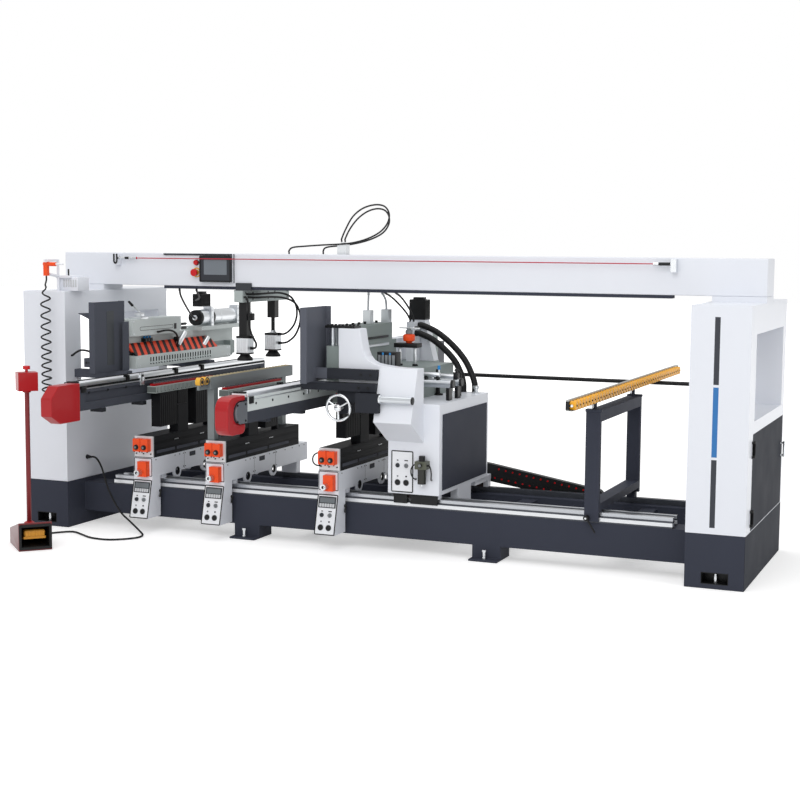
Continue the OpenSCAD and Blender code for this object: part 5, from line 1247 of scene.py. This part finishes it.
class BORING_OT_frame_trim(bpy.types.Operator):
    """Makes the small fittings of the columns, the beam, the bed and the control station"""
    bl_idname = "boring.frame_trim"
    bl_label = "Column and beam trim"

    def execute(self, context):
        pile = Pile()
        # Painted shade: black sheets lining the walls of the opening in each column's foot, and the opening's
        # bolt
        for low, high in ((-2144, -2005), (2005, 2144)):
            pile.slabs(((low + 0.5, 64, 26), (high - 0.5, 71, 84), 1, 0),
                       ((low - 0.5, 1, 26), (low + 2, 70, 84), 0.5, 0),
                       ((high - 2, 1, 26), (high + 0.5, 70, 84), 0.5, 0),
                       ((low + 0.5, 1, 82), (high - 0.5, 70, 85.5), 0.5, 0),
                       ((low + 0.5, 1, 24.5), (high - 0.5, 70, 28), 0.5, 0))
            pile.rod(((low + high) / 2, 35, 28), ((low + high) / 2, 35, 66), 10, 1)
        # Cable entry and air inlet on the left column
        entry = ((14, -2), (14, 5), (11, 7), (10, 20), (7.5, 28), (6.2, 36), (0, 36))
        pile.lathe((-1917, 209, 417), RIGHT, entry, 0)
        pile.lathe((-2014, 0, 750), FRONT, ((16, -1), (16, 5), (11, 7), (10, 16), (5, 20), (0, 20)), 1)
        # Frame round the screen
        pile.plate((-1213, 1522, 0), (-992, 1683, 3), 8, 0, facing_front(0, 415, 0), hole=9)
        # Stop button: the yellow ring that it stands on, and the ring of the lamp above it
        pile.lathe((-1250, 445, 1579), FRONT, ((24, 0), (30, 0), (30, 4), (24, 5), (24, 0)), 4)
        pile.lathe((-1250, 445, 1640), FRONT, ((15.2, 0), (18, 0), (18, 4), (15.2, 5), (15.2, 0)), 0)
        # Pull wire hook, drawn over its plate
        line = ((-1822, 1690), (-1822, 1642), (-1816, 1632), (-1806, 1632), (-1800, 1642), (-1800, 1690))
        for a, b in zip(line, line[1:]):
            pile.rod((a[0], HOOK_Y, a[1]), (b[0], HOOK_Y, b[1]), 5, 0)
        # Folded sheet box and arm beside the air gun
        pile.slabs(((-2008, 60, 1462), (-1861, 180, 1546), 3, 2),
                   ((-2010, 40, 1540), (-1905, 180, 1556), 3, 2))
        for k in range(6):
            pile.slab((-1966 + 17 * k, 57, 1486), (-1956 + 17 * k, 62, 1532), 1, 3)
        pile.rods(((-1985, 60, 1548), (-2004, -34, 1566), 9, 2),
                  ((-1935, 70, 1556), (-1935, 70, 1596), 5, 0))
        pile.done("frame_fittings", ("black_plastic", "aluminium", "white", "key", "yellow"), "frame")
        return {"FINISHED"}


class BORING_OT_pedal(bpy.types.Operator):
    """Makes the mouth frame, tread ribs and collars of the foot pedal and its pedestal"""
    bl_idname = "boring.pedal"
    bl_label = "Pedal trim"

    def execute(self, context):
        place = PLACE @ PEDAL
        pile = Pile()
        # Black frame round the mouth, and black sheets on the mouth's inner sides, floor, back and roof as
        # painted shade
        pile.plate((-93, 8, 0), (93, 154, 3), 10, 0, place @ UPRIGHT, hole=14)
        for x in (-80, 78):
            for low, depth, high in ((22, 228, 84), (80, 120, 111), (108, 30, 133)):
                pile.slab((x, 2, low), (x + 2, depth, high), 0.5, 0, place)
        pile.slab((-80, 2, 21), (80, 228, 24), 0.5, 0, place)
        pile.slab((-80, 226, 22), (80, 229, 86), 0.5, 0, place)
        roof = place @ Matrix.Translation((0, 0, 140)) @ Matrix.Rotation(-math.atan2(55, 231), 4, "X")
        pile.slab((-80, 2, -3), (80, 234, 0.5), 0.5, 0, roof)
        # Collars on the post, and feet
        pile.lathe((0, 190, 127), UP, ((30, 0), (30, 6), (20, 12), (14, 12)), 1, place=place)
        pile.lathe((0, 190, 892), UP, ((14, 0), (24, 3), (24, 13), (14, 13)), 1, place=place)
        for x in (-70, 70):
            for y in (20, 275):
                pile.lathe((x, y, 0.5), UP, ((0, 4), (14, 4), (16, 0)), 0, place=place)
        pile.done("pedal_trim", ("black_plastic", "red"), "frame")
        tread = Pile()
        tread.slab((-60, 20, 76), (60, 74, 116), 12, 0, place)
        for k in range(6):
            tread.slab((-54 + 19 * k, 17, 82), (-42 + 19 * k, 24, 110), 3, 0, place)
            y = 82 + 16 * k
            z = 80 - 28 * (y - 25) / 180
            tread.slab((-58, y, z - 2), (58, y + 9, z + 2.5), 1.5, 0, place)
        tread.done("pedal_ribs", ("gold",), "pedal")
        return {"FINISHED"}


class BORING_OT_chain(bpy.types.Operator):
    """Makes the link plates and red pins of the drag chain, and the roller support's fittings"""
    bl_idname = "boring.chain"
    bl_label = "Chain and roller trim"

    def execute(self, context):
        # Start, direction and number of links of the upper and the lower run
        pitch = 46
        runs = (((496, 1095, 378), (686, 0, -115), 14), ((470, 1095, 322), (430, 0, -64), 11))
        plates = []
        pins = []
        for start, way, count in runs:
            way = Vector(way).normalized()
            for k in range(count):
                middle = Vector(start) + way * pitch * k
                plates.append((PLACE @ (middle - Vector((0, 0.5, 0))), way))
                pins.append((middle + way * pitch / 2 - Vector((0, 2, 0)))[:])
        sizes = {"Radius": 0.013, "Length": 0.016, "Height": 0.003}
        grown("chain_plates", link_tree(), plates, sizes, "black_plastic", "frame")
        screws("chain_pins", pins, FRONT, "frame", "red_plastic", 0.0055, 0.004)
        # Bracket that carries the lower end of the chain
        pile = Pile()
        pile.slab((1150, 1092, 236), (1188, 1140, 268), 2, 0)
        pile.done("chain_bracket", ("black_plastic",), "frame")
        support = Pile()
        support.slabs(((1344, -276, 922), (1363, -266, 966), 2, 0),
                      ((1358, -274, 938), (1384, -268, 950), 2, 0))
        support.rod((1378, -277, 944), (1378, -262, 944), 7, 1)
        for y in (165, 1065):
            support.slabs(((1326, y - 4, 868), (1414, y + 34, 884), 3, 2),
                          ((1343, y + 2, 884), (1364, y + 26, 918), 2, 1))
        support.done("roller_support_trim", ("black_plastic", "aluminium", "dark"), "roller_support")
        pins = [(1395, -240 + 58 * k, 943.5) for k in range(43)]
        screws("roller_pins", pins, RIGHT, "roller_support", radius=0.005)
        hub = Pile()
        hub.lathe((1349, 130, 292), FRONT, ((13.5, -30), (15, -28), (15, 0), (11, 4), (0, 4)), 0)
        hub.lathe((1349, 126, 292), FRONT, ((0, 3), (5, 3), (6, 0)), 1)
        hub.done("clamp_lever_hub", ("black_plastic", "aluminium"), "clamp_lever")
        return {"FINISHED"}


class BORING_PT_sidebar(bpy.types.Panel):
    """Lists the steps that dress the machine"""
    bl_idname = "BORING_PT_sidebar"
    bl_label = "Line boring machine"
    bl_space_type = "VIEW_3D"
    bl_region_type = "UI"
    bl_category = "Boring machine"

    def draw(self, context):
        for step in STEPS:
            self.layout.operator(step.bl_idname)
        for group in (context.scene.boring_colours, context.scene.boring_sizes):
            for name in group.bl_rna.properties.keys():
                if name not in ("rna_type", "name"):
                    self.layout.prop(group, name)


STEPS = (BORING_OT_stage, BORING_OT_cords, BORING_OT_air_lines, BORING_OT_finishes, BORING_OT_panels,
         BORING_OT_counters, BORING_OT_carriages, BORING_OT_left_head, BORING_OT_press,
         BORING_OT_right_head, BORING_OT_arms, BORING_OT_frame_trim, BORING_OT_pedal, BORING_OT_chain)
CLASSES = (BoringColours, BoringSizes) + STEPS + (BORING_PT_sidebar,)


def register():
    """Adds the classes and the scene's settings."""
    for kind in CLASSES:
        bpy.utils.register_class(kind)
    bpy.types.Scene.boring_colours = PointerProperty(type=BoringColours)
    bpy.types.Scene.boring_sizes = PointerProperty(type=BoringSizes)


def unregister():
    """Takes them away again."""
    del bpy.types.Scene.boring_sizes
    del bpy.types.Scene.boring_colours
    for kind in reversed(CLASSES):
        bpy.utils.unregister_class(kind)


def main():
    """Runs every step in order."""
    register()
    for make in (plain_finishes, sheet_finishes, machine_finishes):
        make(bpy.context.scene.boring_colours)
    for step in STEPS:
        getattr(bpy.ops.boring, step.bl_idname.split(".")[1])()


if __name__ == "__main__":
    main()
